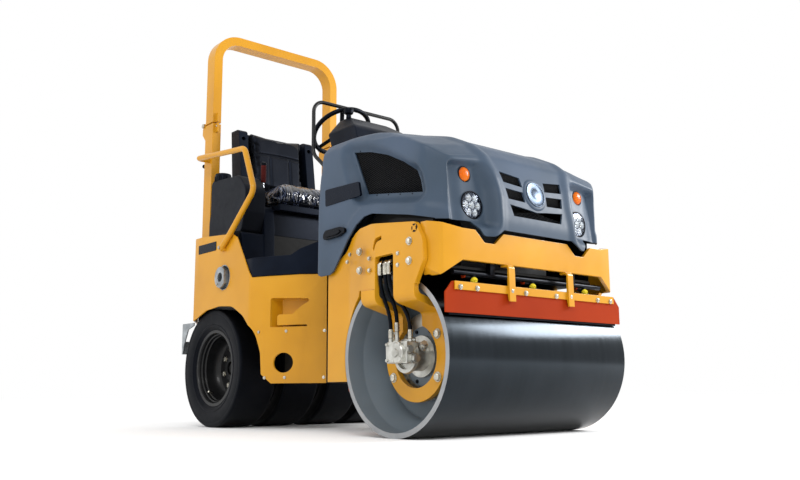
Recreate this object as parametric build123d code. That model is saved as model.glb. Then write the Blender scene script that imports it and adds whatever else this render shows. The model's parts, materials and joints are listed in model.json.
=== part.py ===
from build123d import *
import os
from math import asin, cos, radians, sin, tan

# Articulated road roller: one steel drum in front, four smooth tyres behind.
# Millimetres. X points forward, Y to the driver's left, Z up. The origin is on the
# ground under the middle of the machine's length and width.

os.makedirs("parts", exist_ok=True)

# ---------------------------------------------------------------- overall sizes
overall_length = 2470
plate_outer_y = 640          # outer face of the front side plates
rollbar_top_z = 2572
wheelbase = 1730

# drum
drum_radius = 360
drum_width = 1200
drum_shell = 24
drum_dish_depth = 85         # how far in the dished end starts, from the drum's edge
drum_dish_floor = 215        # how far in its flat floor lies
drum_dish_floor_radius = 285
drum_dish_wall = 15
drum_clear = 12              # room left round the drum

# tyres and rims
tyre_radius = 347
tyre_width = 240
tyre_seat_radius = 212
tyre_spacing = 302           # between the two tyres of one side
tyre_shoulder = 14
outer_tyre_y = 457
rim_wall = 8
wheel_shaft_radius = 38

# where the machine's main parts stand
front_x = overall_length / 2
drum_x = front_x - drum_radius
axle_x = drum_x - wheelbase
axle_z = tyre_radius
inner_tyre_y = outer_tyre_y - tyre_spacing
bearing_y = (outer_tyre_y + inner_tyre_y) / 2

# articulation pivot
pivot_x = 60
pivot_pin_radius = 35
pivot_running_fit = 0.05
pivot_gap = 6                # above and below the tongue
tongue_low_z = 400
tongue_high_z = 600
lug_thickness = 35

# general clearances
seat_gap = 0.5               # between a soft part and what carries it
pin_fit = 0.05               # running fit of a pin in its hole, on the radius
face_gap = 0.5               # between flat faces that are bolted together

# plates
skin = 8                     # rear body panels
frame_plate = 20
front_plate = 28

# rear body
body_half_width = 600
body_low_z = 250
body_rear_x = -1200
body_rear_half_width = 505
body_rear_corner_x = -1060
body_top_z = 1150
nose_line = [                # plan of the rear body's nose, x and y of the right side
    (-400, -600), (-305, -560), (-100, -450), (-5, -340),
]
lashing_x = -691             # lashing eyes in their pockets
lashing_z = 870
lashing_eye_radius = 28
step_depth = 68
lashing_pocket_radius = 75
cover_z = 1140               # top of the closing plate behind the driver
bulkhead_x = -600            # front face of the wall under the seat
deck_z = 840                 # top of the side panels under the platform
arch_top_z = 700
floor_plate = 8
lip_top_z = 950

# front frame
front_rear_x = 360           # rear edge of the front side plates
waist_outer_y = plate_outer_y - 48    # their outer face behind the drum
arm_ring_outer_y = 473
ring_plate = 30
ring_radius = 206
ring_hole_radius = 142
arm_half_width = 187
beam_front_x = 1205
beam_low_z = 762
beam_high_z = 902
engine_deck_z = 745
notch_y = 313                # hood notches in the beam
notch_z = 850

# hood
hood_wall = 8
hood_half_width = plate_outer_y - front_plate
hood_rear_x = 282
hood_low_z = 916             # its front edge over the beam

# roll bar
rollbar_x = -1135            # middle of the posts
rollbar_depth = 100
rollbar_width = 60
rollbar_outer_y = 496
rollbar_bend = 190
rollbar_fold_z = 1940
rollbar_fold_x = rollbar_x - rollbar_depth / 2 - 22
fold_gap = 8
fold_pin_radius = 9
fold_eye_radius = 17

# driver's place
seat_y = -75
seat_back_x = -1010
cushion_front_x = -520
cushion_low_z = 1330
cushion_high_z = 1460
cushion_half_width = 250
steering_wheel_x = -270
steering_wheel_y = -55
steering_wheel_z = 1765
steering_wheel_radius = 190
steering_wheel_tilt = 35
steering_rim_radius = 14
tank_outer_y = 545
tank_inner_y = 405
seat_side_y = 332            # inner face of the covers beside the seat
lever_box_z = 1320
column_radius = 24
steering_shaft_radius = 12
guard_tube_radius = 11
rail_tube_radius = 17


# hub motors and the discs that carry them, on rubber buffers behind the rings
hub_stub_radius = 45
carrier_in_y = 400
carrier_out_y = 415
carrier_radius = 200
buffer_radius = 28
buffer_x = 151               # from the drum's axis
buffer_z = 94
port_block_z = 62            # top of the hose block, above the drum's axis

# arms of the front side plates and the opening between them
arm_top_z = 660
window_rear_x = drum_x - 84
window_front_x = drum_x + 46
window_top_z = 806
bay_wall_y = 540             # outer faces of the engine bay's side walls
hose_wall_y = 540            # wall inside the hood that the hoses come from

# steering cylinder, lying along the left of the tongue
cylinder_pin_x = pivot_x + 30
cylinder_pin_y = 137
cylinder_pin_radius = 12
cylinder_line_y = 128        # the cylinder's own line, half the pin's sideways travel inboard
cylinder_z = 500
cylinder_base_x = pivot_x - 500
cylinder_barrel_radius = 32
cylinder_rod_radius = 16
cylinder_eye_radius = 32
cylinder_eye_bore = 24
cylinder_lug_half = 45       # outer faces of the two lugs, from the cylinder's line
cylinder_lug_plate = 20
tongue_end_radius = 55
cross_wall_x = -498
rear_scraper_arm_y = 380
rear_scraper_x = 488

# hoses in front of the right ring: points of each route from top to bottom
hose_radius = 9
hose_crimp_radius = 11
hose_crimp_length = 36
hose_elbow_z = 784
hose_window_y = 622
hose_routes = {
    "hose_rear": [(808, -hose_window_y, 726), (808, -hose_window_y, 662), (818, -568, 540),
                  (818, -568, 476)],
    "hose_middle": [(846, -hose_window_y, 726), (846, -hose_window_y, 660), (842, -552, 572),
                    (842, -552, 506)],
    "hose_front": [(872, -hose_window_y, 726), (872, -hose_window_y, 662), (930, -548, 534),
                   (930, -548, 470)],
}

# scrapers and water spray
scraper_arm_y = 205
scraper_bar_x = drum_x + 341
scraper_bar_z = 664
spray_bar_x = 1164
spray_bar_z = 712
nozzle_y = 384
wiper_gap = 6                # rubber strip to drum

# ---------------------------------------------------------------- helpers
def block(x0, x1, y0, y1, z0, z1):
    """Box between two corners."""
    return Pos((x0 + x1) / 2, (y0 + y1) / 2, (z0 + z1) / 2) * Box(x1 - x0, y1 - y0, z1 - z0)


def fitted_radii(points, radii):
    """Corner radii of a closed outline, each no larger than its two sides have room for."""
    fitted = []
    for index, radius in enumerate(radii):
        here = Vector(points[index])
        run_in = here - Vector(points[index - 1])
        run_out = Vector(points[(index + 1) % len(points)]) - here
        half_turn = radians(run_in.get_angle(run_out)) / 2
        room = 0.49 * min(run_in.length, run_out.length)
        fitted.append(min(radius, room / tan(half_turn)) if half_turn > 0.01 else 0)
    return fitted


def pull(points, radii, direction, distance):
    """Flat closed outline with rounded corners, pulled along a direction."""
    wire = FilletPolyline(*points, radius=fitted_radii(points, radii), close=True)
    return extrude(make_face(wire), amount=distance, dir=direction)


def side_shape(corners, y0, y1):
    """Outline seen from the side, pulled across. Columns of corners: x, z, corner radius."""
    points = [(x, y0, z) for x, z, _ in corners]
    return pull(points, [r for _, _, r in corners], (0, 1, 0), y1 - y0)


def plan_shape(corners, z0, z1):
    """Outline seen from above, pulled up. Columns of corners: x, y, corner radius."""
    points = [(x, y, z0) for x, y, _ in corners]
    return pull(points, [r for _, _, r in corners], (0, 0, 1), z1 - z0)


def front_shape(corners, x0, x1):
    """Outline seen from the front, pulled forward. Columns of corners: y, z, corner radius."""
    points = [(x0, y, z) for y, z, _ in corners]
    return pull(points, [r for _, _, r in corners], (1, 0, 0), x1 - x0)


def drum_like(x, z, radius, y0, y1):
    """Cylinder lying across the machine."""
    return Pos(x, (y0 + y1) / 2, z) * Rot(90, 0, 0) * Cylinder(radius, abs(y1 - y0))


def upright(x, y, radius, z0, z1):
    """Cylinder standing up."""
    return Pos(x, y, (z0 + z1) / 2) * Cylinder(radius, z1 - z0)


def lengthwise(y, z, radius, x0, x1):
    """Cylinder lying along the machine."""
    return Pos((x0 + x1) / 2, y, z) * Rot(0, 90, 0) * Cylinder(radius, x1 - x0)


def tube(points, radii, radius):
    """Round bar or tube along straight runs with rounded corners."""
    path = FilletPolyline(*points, radius=radii)
    start = Plane(origin=path @ 0, z_dir=path % 0)
    return sweep(start * Circle(radius), path=path)


def turned(profile, x, z):
    """Ring or disc turned about a line across the machine. Columns of profile: y, radius."""
    points = [(x, y, z + r) for y, r in profile]
    face = make_face(Polyline(*points, close=True))
    return revolve(face, Axis((x, 0, z), (0, 1, 0)), 360)


def other_side(shape):
    """The same piece on the left."""
    return mirror(shape, about=Plane.XZ)


def both_sides(shape):
    return Compound(children=[shape, other_side(shape)])


def one_of(shape):
    """The single solid of a shape that was cut or joined."""
    solids = shape.solids()
    assert len(solids) == 1, len(solids)
    return solids[0]


# ---------------------------------------------------------------- drum
def make_drum():
    half = drum_width / 2
    inner = drum_radius - drum_shell
    shell = drum_like(drum_x, drum_radius, drum_radius, -half, half)
    shell -= drum_like(drum_x, drum_radius, inner, -half, half)
    dish_y = half - drum_dish_depth
    floor_y = half - drum_dish_floor
    dish = turned([
        (-dish_y, inner + 1), (-floor_y, drum_dish_floor_radius), (-floor_y, 0),
        (-floor_y + drum_dish_wall, 0), (-floor_y + drum_dish_wall, drum_dish_floor_radius + 8),
        (-dish_y + drum_dish_wall, inner + 1),
    ], drum_x, drum_radius)
    stub = drum_like(drum_x, drum_radius, hub_stub_radius, -carrier_in_y - 8, -floor_y)
    return one_of(shell + dish + other_side(dish) + stub + other_side(stub))


# ---------------------------------------------------------------- front frame
def make_front_side_plate():
    """Right side plate: bent inward behind the drum, with two arms that reach in to the ring."""
    bend_x = drum_x - 80
    waist_x = drum_x - 340
    band = plan_shape([
        (beam_front_x - 82, -plate_outer_y, 0), (bend_x, -plate_outer_y, 0),
        (waist_x, -waist_outer_y, 0), (front_rear_x - 5, -waist_outer_y, 0),
        (front_rear_x - 5, -waist_outer_y + front_plate, 0),
        (waist_x, -waist_outer_y + front_plate, 0),
        (bend_x, -plate_outer_y + front_plate, 0),
        (beam_front_x - 82, -plate_outer_y + front_plate, 0),
    ], body_low_z - 10, 1000)
    outline = side_shape([
        (front_rear_x, body_low_z, 0), (front_rear_x, 782, 12), (412, 806, 20), (444, 832, 30),
        (509, 869, 40), (563, 930, 30), (600, 950, 30), (644, 965, 40), (754, 968, 60),
        (1070, 932, 25), (1118, 850, 60), (1123, 760, 40),
        (drum_x + 195, 668, 30), (drum_x + 195, arm_top_z, 0), (drum_x - 200, arm_top_z, 0),
        (drum_x - 235, arm_top_z + 10, 10), (drum_x - 330, body_low_z, 0),
    ], -plate_outer_y - 5, -waist_outer_y + front_plate + 5)
    plate = band & outline
    plate -= drum_like(drum_x, drum_radius, drum_radius + drum_clear,
                       -drum_width / 2 - drum_clear, 0)
    plate -= side_shape([
        (771, 850, 0), (781, 838, 0), (802, 876, 30), (838, 884, 0), (838, 900, 0),
        (790, 892, 30),
    ], -plate_outer_y - 5, -plate_outer_y + front_plate + 5)
    arm = front_shape([
        (-plate_outer_y, arm_top_z, 0), (-plate_outer_y, 595, 55),
        (-arm_ring_outer_y, 552, 25), (-arm_ring_outer_y, drum_radius, 0),
        (-arm_ring_outer_y + ring_plate, drum_radius, 0),
        (-arm_ring_outer_y + ring_plate, 580, 40),
        (-plate_outer_y + front_plate, 624, 26), (-plate_outer_y + front_plate, arm_top_z, 0),
    ], drum_x - arm_half_width, drum_x + arm_half_width)
    plate += arm
    plate += drum_like(drum_x, drum_radius, ring_radius, -arm_ring_outer_y,
                       -arm_ring_outer_y + ring_plate)
    plate -= drum_like(drum_x, drum_radius, ring_hole_radius, -arm_ring_outer_y - 5,
                       -arm_ring_outer_y + ring_plate + 5)
    plate -= side_shape([
        (window_rear_x, drum_radius, 0), (window_rear_x, window_top_z, 12),
        (window_front_x, window_top_z + 4, 12), (window_front_x, drum_radius, 0),
    ], -plate_outer_y - 5, -arm_ring_outer_y + ring_plate + 5)
    return one_of(plate)


def make_front_side_plates():
    right = make_front_side_plate()
    return both_sides(right)


def make_front_beam():
    """Cross beam in front of the drum with chamfered ends and two notches for the hood."""
    half = plate_outer_y - front_plate - face_gap
    end_front_x = beam_front_x - 100
    straight = 480           # half the width of the flat front
    knee = 588               # where its end bends back to the side plate
    knee_x = beam_front_x - 24
    front = front_shape([
        (-half, beam_low_z - 35, 0), (-knee, beam_low_z - 70, 0), (-straight, beam_low_z, 0),
        (straight, beam_low_z, 0), (knee, beam_low_z - 70, 0), (half, beam_low_z - 35, 0),
        (half, beam_high_z + 30, 0), (knee, beam_high_z + 18, 0), (straight, beam_high_z, 0),
        (notch_y + 90, beam_high_z, 0), (notch_y + 32, notch_z, 12), (notch_y - 32, notch_z, 12),
        (notch_y - 90, beam_high_z, 0), (-notch_y + 90, beam_high_z, 0),
        (-notch_y + 32, notch_z, 12), (-notch_y - 32, notch_z, 12),
        (-notch_y - 90, beam_high_z, 0), (-straight, beam_high_z, 0),
        (-knee, beam_high_z + 18, 0), (-half, beam_high_z + 30, 0),
    ], end_front_x - 40, beam_front_x + 5)
    plan = plan_shape([
        (end_front_x - 30, -half, 0), (end_front_x + 10, -half, 0), (knee_x, -knee, 25),
        (beam_front_x, -straight, 0), (beam_front_x, straight, 0), (knee_x, knee, 25),
        (end_front_x + 10, half, 0), (end_front_x - 30, half, 0),
        (end_front_x - 30, half - frame_plate, 0),
        (end_front_x + 6, half - frame_plate, 0),
        (knee_x - frame_plate, knee - frame_plate + 3, 10),
        (beam_front_x - frame_plate, straight - 8, 0),
        (beam_front_x - frame_plate, -straight + 8, 0),
        (knee_x - frame_plate, -knee + frame_plate - 3, 10),
        (end_front_x + 6, -half + frame_plate, 0),
        (end_front_x - 30, -half + frame_plate, 0),
    ], beam_low_z - 80, beam_high_z + 40)
    return one_of(front & plan)


def make_front_frame():
    """Cross panel behind the drum, engine deck, and the tongue that reaches back to the pivot."""
    inner = waist_outer_y - front_plate - face_gap
    wall_x = front_rear_x + 5
    wall = block(wall_x, wall_x + frame_plate, -inner, inner, body_low_z + 20, engine_deck_z)
    deck = plan_shape([
        (wall_x, -hose_wall_y, 0), (beam_front_x - 115, -hose_wall_y, 0),
        (spray_bar_x - 14, -450, 0), (spray_bar_x - 14, 450, 0),
        (beam_front_x - 115, hose_wall_y, 0), (wall_x, hose_wall_y, 0),
    ], engine_deck_z - 13, engine_deck_z)
    hose_wall = block(window_rear_x - 40, window_front_x + 40, -hose_wall_y, -hose_wall_y + 8,
                      engine_deck_z - 13, engine_deck_z + 110)
    tongue = plan_shape([
        (wall_x + 5, -150, 0), (pivot_x, -tongue_end_radius, 0), (pivot_x, tongue_end_radius, 0),
        (wall_x + 5, 150, 0),
    ], tongue_low_z, tongue_high_z)
    tongue += upright(pivot_x, 0, tongue_end_radius, tongue_low_z, tongue_high_z)
    tongue -= upright(pivot_x, 0, pivot_pin_radius + pivot_running_fit, tongue_low_z - 5,
                      tongue_high_z + 5)
    frame = wall + deck + hose_wall + tongue
    for y in (-bay_wall_y, bay_wall_y - 8):
        frame += side_shape([
            (wall_x + 35, engine_deck_z - 13, 0), (wall_x + 35, 850, 0), (560, 960, 20),
            (690, 1040, 30), (beam_front_x - 125, 985, 20),
            (beam_front_x - 125, engine_deck_z - 13, 0),
        ], y, y + 8)
    for low in (cylinder_z - cylinder_lug_half, cylinder_z + cylinder_lug_half - cylinder_lug_plate):
        frame += plan_shape([
            (wall_x + 5, 60, 0), (cylinder_pin_x, 50, 0),
            (cylinder_pin_x - 30, cylinder_pin_y + 28, 26),
            (cylinder_pin_x + 30, cylinder_pin_y + 28, 26), (wall_x + 5, 200, 0),
        ], low, low + cylinder_lug_plate)
    frame += upright(cylinder_pin_x, cylinder_pin_y, cylinder_pin_radius, cylinder_z - 30,
                     cylinder_z + 30)
    for y in (-rear_scraper_arm_y, rear_scraper_arm_y):
        frame += side_shape([
            (wall_x + 5, body_low_z + 20, 0), (wall_x + frame_plate, body_low_z + 20, 0),
            (wall_x + frame_plate, 300, 0), (rear_scraper_x, 228, 0), (rear_scraper_x, 212, 0),
            (wall_x + 25, body_low_z + 5, 0), (wall_x + 5, body_low_z + 5, 0),
        ], y - 12, y + 12)
    return one_of(frame)


def make_steering_barrel():
    y = cylinder_line_y
    barrel = lengthwise(y, cylinder_z, cylinder_barrel_radius, cylinder_base_x + 36,
                        cylinder_pin_x - 200)
    barrel += lengthwise(y, cylinder_z, 18, cylinder_base_x, cylinder_base_x + 40)
    barrel += upright(cylinder_base_x, y, 28, cylinder_z - 20, cylinder_z + 20)
    barrel -= upright(cylinder_base_x, y, cylinder_pin_radius + pin_fit, cylinder_z - 40,
                      cylinder_z + 40)
    bore = lengthwise(y, cylinder_z, cylinder_rod_radius + pin_fit, cylinder_base_x + 60,
                      cylinder_pin_x - 190)
    return one_of(barrel - bore)


def make_steering_rod():
    y = cylinder_line_y
    rod = lengthwise(y, cylinder_z, cylinder_rod_radius, cylinder_pin_x - 380,
                     cylinder_pin_x - cylinder_eye_bore - 2)
    rod += upright(cylinder_pin_x, y, cylinder_eye_radius, cylinder_z - 18, cylinder_z + 18)
    rod -= upright(cylinder_pin_x, y, cylinder_eye_bore, cylinder_z - 30, cylinder_z + 30)
    return one_of(rod)


def make_engine():
    return block(drum_x - 420, drum_x + 130, -300, 300, engine_deck_z + face_gap, 1180)


def make_hub_motors():
    """Disc on rubber buffers behind the ring, and the hydraulic motor that looks out through it."""
    disc = drum_like(drum_x, drum_radius, carrier_radius, -carrier_out_y, -carrier_in_y)
    disc -= drum_like(drum_x, drum_radius, hub_stub_radius + pin_fit, -carrier_in_y - 9,
                      -carrier_in_y + 5)
    for sx in (-1, 1):
        for sz in (-1, 1):
            disc += drum_like(drum_x + sx * buffer_x, drum_radius + sz * buffer_z, buffer_radius,
                              -arm_ring_outer_y + ring_plate, -carrier_out_y)
    ports_z = drum_radius + port_block_z
    motor = drum_like(drum_x, drum_radius, 95, -440, -carrier_out_y)
    motor += drum_like(drum_x, drum_radius, 66, -520, -440)
    motor += drum_like(drum_x, drum_radius + 15, 50, -590, -520)
    motor += block(drum_x - 70, drum_x + 68, -580, -515, drum_radius - 33, ports_z)
    for points in hose_routes.values():
        x, y, z = hose_end(points)
        motor += upright(x, y, hose_crimp_radius - 1, ports_z - 5, z - face_gap)
    left = disc + drum_like(drum_x, drum_radius, 110, -470, -carrier_out_y)
    left += drum_like(drum_x, drum_radius, 62, -545, -470)
    return Compound(children=[one_of(disc + motor), other_side(one_of(left))])


def hose_end(points):
    """Middle of the lower face of the crimp at the bottom of a hose, which points straight down."""
    x, y, z = points[-1]
    return x, y, z - hose_crimp_length


def route_radii(points):
    """Arc at each corner: 0.45 of the shorter run, divided by the tangent of half the turn."""
    radii = []
    for before, here, after in zip(points, points[1:], points[2:]):
        run_in = Vector(here) - Vector(before)
        run_out = Vector(after) - Vector(here)
        half_turn = radians(run_in.get_angle(run_out)) / 2
        radii.append(0.45 * min(run_in.length, run_out.length) / tan(half_turn))
    return radii


def make_hose(name):
    points = hose_routes[name]
    radii = route_radii(points)
    print(name, "arc radii", [round(r) for r in radii])
    return tube(points, radii, hose_radius)


def make_hose_fittings():
    """Crimped ends of the hoses, with an elbow at the top of each."""
    fittings = []
    for points in hose_routes.values():
        x, y, z = points[0]
        elbow = [(x, y, z), (x, y, hose_elbow_z), (x, -hose_wall_y - face_gap, hose_elbow_z)]
        fittings.append(tube(elbow, [22], hose_crimp_radius))
        x, y, z = points[-1]
        fittings.append(upright(x, y, hose_crimp_radius, z - hose_crimp_length, z))
    return Compound(children=fittings)


# ---------------------------------------------------------------- scrapers and water
def make_front_scraper():
    """Two arms under the beam and the bar they carry in front of the drum."""
    scraper = block(scraper_bar_x, scraper_bar_x + 6.5, -549, 549, scraper_bar_z - 36,
                    scraper_bar_z)
    for y in (-scraper_arm_y, scraper_arm_y):
        scraper += side_shape([
            (beam_front_x - 24, beam_low_z - face_gap, 0), (front_x - 4, beam_low_z - face_gap, 20),
            (front_x, 595, 0), (front_x - 9, 595, 0), (scraper_bar_x + 4, scraper_bar_z - 36, 0),
            (scraper_bar_x + 4, scraper_bar_z, 0),
            (front_x - 13, beam_low_z - 11, 12), (beam_front_x - 24, beam_low_z - 11, 0),
        ], y - 20, y + 20)
    return one_of(scraper)


def make_scraper_blade():
    """Coloured plate under the bar."""
    half = drum_width / 2
    low = 529
    return front_shape([
        (-half, low, 0), (half, low, 0), (half, scraper_bar_z - 49, 0),
        (half - 42, scraper_bar_z - 1, 0), (-half + 42, scraper_bar_z - 1, 0),
        (-half, scraper_bar_z - 49, 0),
    ], scraper_bar_x - 8, scraper_bar_x)


def make_scraper_rubber():
    """Rubber strip behind the plate, close to the drum."""
    low = 521
    x = drum_x + (drum_radius + wiper_gap) * cos(asin((drum_radius - low) / (drum_radius + wiper_gap)))
    return block(x, scraper_bar_x - 8, -573, 573, low, 600)


def make_rear_scraper():
    """Coloured plate behind the drum, leaning towards it."""
    return side_shape([
        (rear_scraper_x, 228, 0), (rear_scraper_x, 212, 0), (546, 143, 0), (553, 149, 0),
        (rear_scraper_x + 9, 215, 0), (rear_scraper_x + 9, 228, 0),
    ], -560, 560)


def make_spray_bar():
    """Water tube over the front of the drum with three nozzles and two hangers."""
    bar = drum_like(spray_bar_x, spray_bar_z, 12, -510, 510)
    for y in (-nozzle_y, 0, nozzle_y):
        bar += upright(spray_bar_x, y, 11, spray_bar_z - 28, spray_bar_z)
    for y in (-280, 280):
        bar += block(spray_bar_x - 6, beam_front_x - frame_plate, y - 15, y + 15, spray_bar_z,
                     beam_low_z + 40)
    return one_of(bar)


# ---------------------------------------------------------------- rear body
def make_rear_side_panel():
    """Right panel: follows the nose in front, tapers in behind, cut over the wheels."""
    path = [(body_rear_x, -body_rear_half_width), (body_rear_corner_x, -body_half_width)]
    band = thick_band(path + nose_line, skin)
    outline = side_shape([
        (body_rear_x - 5, arch_top_z - 70, 0), (axle_x - 200, arch_top_z - 62, 30),
        (axle_x - 40, arch_top_z - 10, 120), (axle_x + 120, arch_top_z + 4, 160),
        (axle_x + 270, arch_top_z - 8, 160), (axle_x + 395, arch_top_z - 70, 160),
        (axle_x + 500, 530, 160), (axle_x + 536, 420, 160), (-312, 300, 10),
        (-256, body_low_z, 0), (20, body_low_z, 0), (20, deck_z, 0),
        (-381, deck_z, 0), (-545, 1092, 40), (-600, 1120, 40), (-975, body_top_z, 40),
        (body_rear_x - 5, body_top_z, 0),
    ], -body_half_width - 5, 0)
    hole = drum_like(-190, 361, 54, -body_half_width - 5, -300)
    lashing = drum_like(lashing_x, lashing_z, lashing_pocket_radius, -body_half_width - 5, -300)
    return one_of((band & outline) - step_outline(0) - hole - lashing)


def thick_band(path, thickness):
    """Upright bent plate that follows a plan line on its outer face, thickness on the inside."""
    outer = [Vector(x, y, 0) for x, y in path]
    inner = []
    for index, point in enumerate(outer):
        before = outer[max(index - 1, 0)]
        after = outer[min(index + 1, len(outer) - 1)]
        normals = []
        for start, end in ((before, point), (point, after)):
            run = end - start
            if run.length > 0:
                normals.append(Vector(-run.Y, run.X, 0).normalized())
        side = sum(normals[1:], normals[0]).normalized()
        inner.append(point + side * (thickness / side.dot(normals[0])))
    loop = outer + inner[::-1]
    wire = Polyline(*[(p.X, p.Y, body_low_z - 20) for p in loop], close=True)
    return extrude(make_face(wire), amount=1000, dir=(0, 0, 1))


def make_rear_side_panels():
    return both_sides(make_rear_side_panel())


def make_rear_frame():
    """Deck, nose wall with pivot lugs, rear wall and the two plates that carry the wheels."""
    nose_x = nose_line[-1][0]
    nose_half = -nose_line[-1][1]
    deck_z0 = arch_top_z + 25
    deck_z1 = deck_z0 + frame_plate
    nose_wall = block(nose_x - frame_plate, nose_x, -nose_half + 12, nose_half - 12, body_low_z,
                      deck_z - face_gap)
    nose_wall -= block(nose_x - frame_plate - 5, nose_x + 5, 66, 215, cylinder_z - 60,
                       cylinder_z + 60)
    frame = nose_wall + block(body_rear_x, -410, -490, 490, deck_z0, deck_z1)
    frame += block(-420, nose_x - 5, -325, 325, deck_z0, deck_z1)
    for side in (-1, 1):
        y = side * bearing_y
        frame += block(axle_x - 90, axle_x + 90, y - 12, y + 12, axle_z - 60, deck_z0 + 5)
        frame += drum_like(axle_x, axle_z, 90, y - 60, y + 60)
        frame -= drum_like(axle_x, axle_z, wheel_shaft_radius + pin_fit, y - 70, y + 70)
        frame += block(cross_wall_x, nose_x - 5, side * 280 - 10, side * 280 + 10,
                       body_low_z + 60, deck_z0 + 5)
    frame += block(body_rear_x, body_rear_x + 8, -496, 496, arch_top_z - 60, body_top_z - 10)
    frame += block(cross_wall_x, cross_wall_x + 16, -290, 290, body_low_z + 60, deck_z0 + 5)
    for low, high in ((tongue_low_z - pivot_gap - lug_thickness, tongue_low_z - pivot_gap),
                      (tongue_high_z + pivot_gap, tongue_high_z + pivot_gap + lug_thickness)):
        frame += plan_shape([
            (nose_x - 10, -120, 0), (pivot_x + 20, -62, 30), (pivot_x + 62, -20, 20),
            (pivot_x + 62, 20, 20), (pivot_x + 20, 62, 30), (nose_x - 10, 120, 0),
        ], low, high)
    pin_over = pivot_gap + lug_thickness + 10
    frame += upright(pivot_x, 0, pivot_pin_radius, tongue_low_z - pin_over,
                     tongue_high_z + pin_over)
    for low in (cylinder_z - cylinder_lug_half, cylinder_z + cylinder_lug_half - cylinder_lug_plate):
        frame += block(cross_wall_x + 10, cylinder_base_x + 30, cylinder_line_y - 35,
                       cylinder_line_y + 35, low, low + cylinder_lug_plate)
    frame += upright(cylinder_base_x, cylinder_line_y, cylinder_pin_radius, cylinder_z - 30,
                     cylinder_z + 30)
    return one_of(frame)


def make_rear_cover():
    """Plate that closes the body behind the driver, and the wall under the seat."""
    half = body_half_width - skin - face_gap
    rear_half = body_rear_half_width - skin - 8
    cover = plan_shape([
        (body_rear_x + 8 + face_gap, -rear_half, 0), (body_rear_corner_x + 6, -half, 0),
        (bulkhead_x, -half, 0), (bulkhead_x, half, 0), (body_rear_corner_x + 6, half, 0),
        (body_rear_x + 8 + face_gap, rear_half, 0),
    ], cover_z - floor_plate, cover_z)
    cover += block(bulkhead_x - floor_plate, bulkhead_x, -half, half, deck_z + 2, cover_z)
    x0 = rollbar_x - rollbar_depth / 2
    for side in (-1, 1):
        y0, y1 = sorted((side * (rollbar_outer_y - rollbar_width), side * rollbar_outer_y))
        cover -= block(x0 - 2, x0 + rollbar_depth + 2, y0 - 2, y1 + 2, cover_z - 20, cover_z + 5)
    return one_of(cover)


def make_lashing_eyes():
    """Bent plate with a round eye, standing out of a pocket with a closed back."""
    y = -body_half_width
    x = lashing_x
    z = lashing_z
    eye = drum_like(x, z, 62, y - 26, y - 16)
    eye &= block(x - 62, x + 46, y - 30, y, z - 62, z + 62)
    eye += block(x + 36, x + 46, y - 26, y + 68, z - 40, z + 40)
    eye -= drum_like(x, z, lashing_eye_radius, y - 30, y - 10)
    cup = drum_like(x, z, lashing_pocket_radius - face_gap, y, y + 70)
    cup -= drum_like(x, z, lashing_pocket_radius - face_gap - 4, y - 1, y + 66)
    return one_of(cup + eye)


def step_outline(grow):
    """Step opening like a letter F, made larger all round by grow."""
    return side_shape([
        (-264 - grow, 716 + grow, 12), (-70 + grow, 706 + grow, 20), (-70 + grow, 692, 14),
        (-142 + grow, 624 - grow, 14), (-226 + grow, 624 - grow, 14), (-226 + grow, 564 + grow, 6),
        (-76 + grow, 564 + grow, 4), (-76 + grow, 555 - grow, 4), (-264 - grow, 555 - grow, 6),
    ], -body_half_width - 5, -200)


def make_step_pocket():
    """Recess behind the step opening, closed at its back."""
    front = thick_band(nose_line, skin)
    deep = thick_band(nose_line, skin + step_depth)
    room = thick_band(nose_line, skin + step_depth - 5)
    return one_of((deep - front) & step_outline(6) - (room & step_outline(0)))


def make_rear_bracket():
    """Galvanised bar across the back under the body, with an upright plate at each end."""
    bar = block(-1235, -1225, -575, 575, 440, 520)
    panel_low_z = arch_top_z - 70 - face_gap
    for side in (-1, 1):
        y0, y1 = sorted((side * 583, side * 575))
        plate = side_shape([
            (-1235, 440, 0), (-1225, 440, 0), (-1209, 500, 0), (-1160, 590, 0), (-1085, 612, 0),
            (-1085, panel_low_z, 0), (-1235, panel_low_z, 0),
        ], y0, y1)
        bar += plate
    return one_of(bar)


def make_tyre(y):
    """Smooth tyre, hollow and open towards the rim."""
    half = tyre_width / 2
    bead = half * 0.78
    wall = 20
    outside = [
        (bead, tyre_seat_radius), (bead, tyre_seat_radius + 16), (half - 4, tyre_seat_radius + 40),
        (half, tyre_radius - 60), (half, tyre_radius - tyre_shoulder),
        (half - 4, tyre_radius - 4), (half - tyre_shoulder, tyre_radius),
    ]
    inside = [
        (half - wall - tyre_shoulder, tyre_radius - wall), (half - wall, tyre_radius - wall - 10),
        (half - wall, tyre_seat_radius + 50),
        (bead - wall, tyre_seat_radius + 20), (bead - wall, tyre_seat_radius),
    ]
    profile = [(y + across, r) for across, r in outside]
    profile += [(y - across, r) for across, r in outside[::-1] + inside[::-1]]
    profile += [(y + across, r) for across, r in inside]
    return turned(profile, axle_x, axle_z)


def make_wheel_hub(side):
    """Two dished rims on one shaft through the bearing of this side."""
    bead = tyre_width / 2 * 0.78
    hub = drum_like(axle_x, axle_z, wheel_shaft_radius, side * (inner_tyre_y - 10),
                    side * (outer_tyre_y + 10))
    flange = tyre_seat_radius + 14
    seat = tyre_seat_radius
    drop = seat - rim_wall
    for y, inward in ((outer_tyre_y, -1), (inner_tyre_y, 1)):
        disc_y = y + inward * 40
        profile = [
            (y - bead - 6, drop), (y - bead - 6, flange), (y - bead, flange), (y - bead, seat),
            (y + bead, seat), (y + bead, flange), (y + bead + 6, flange), (y + bead + 6, drop),
            (disc_y + 6, drop), (disc_y + 6, 20), (disc_y - 6, 20), (disc_y - 6, drop),
        ]
        hub += turned([(side * py, r) for py, r in profile], axle_x, axle_z)
    return one_of(hub)


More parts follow.
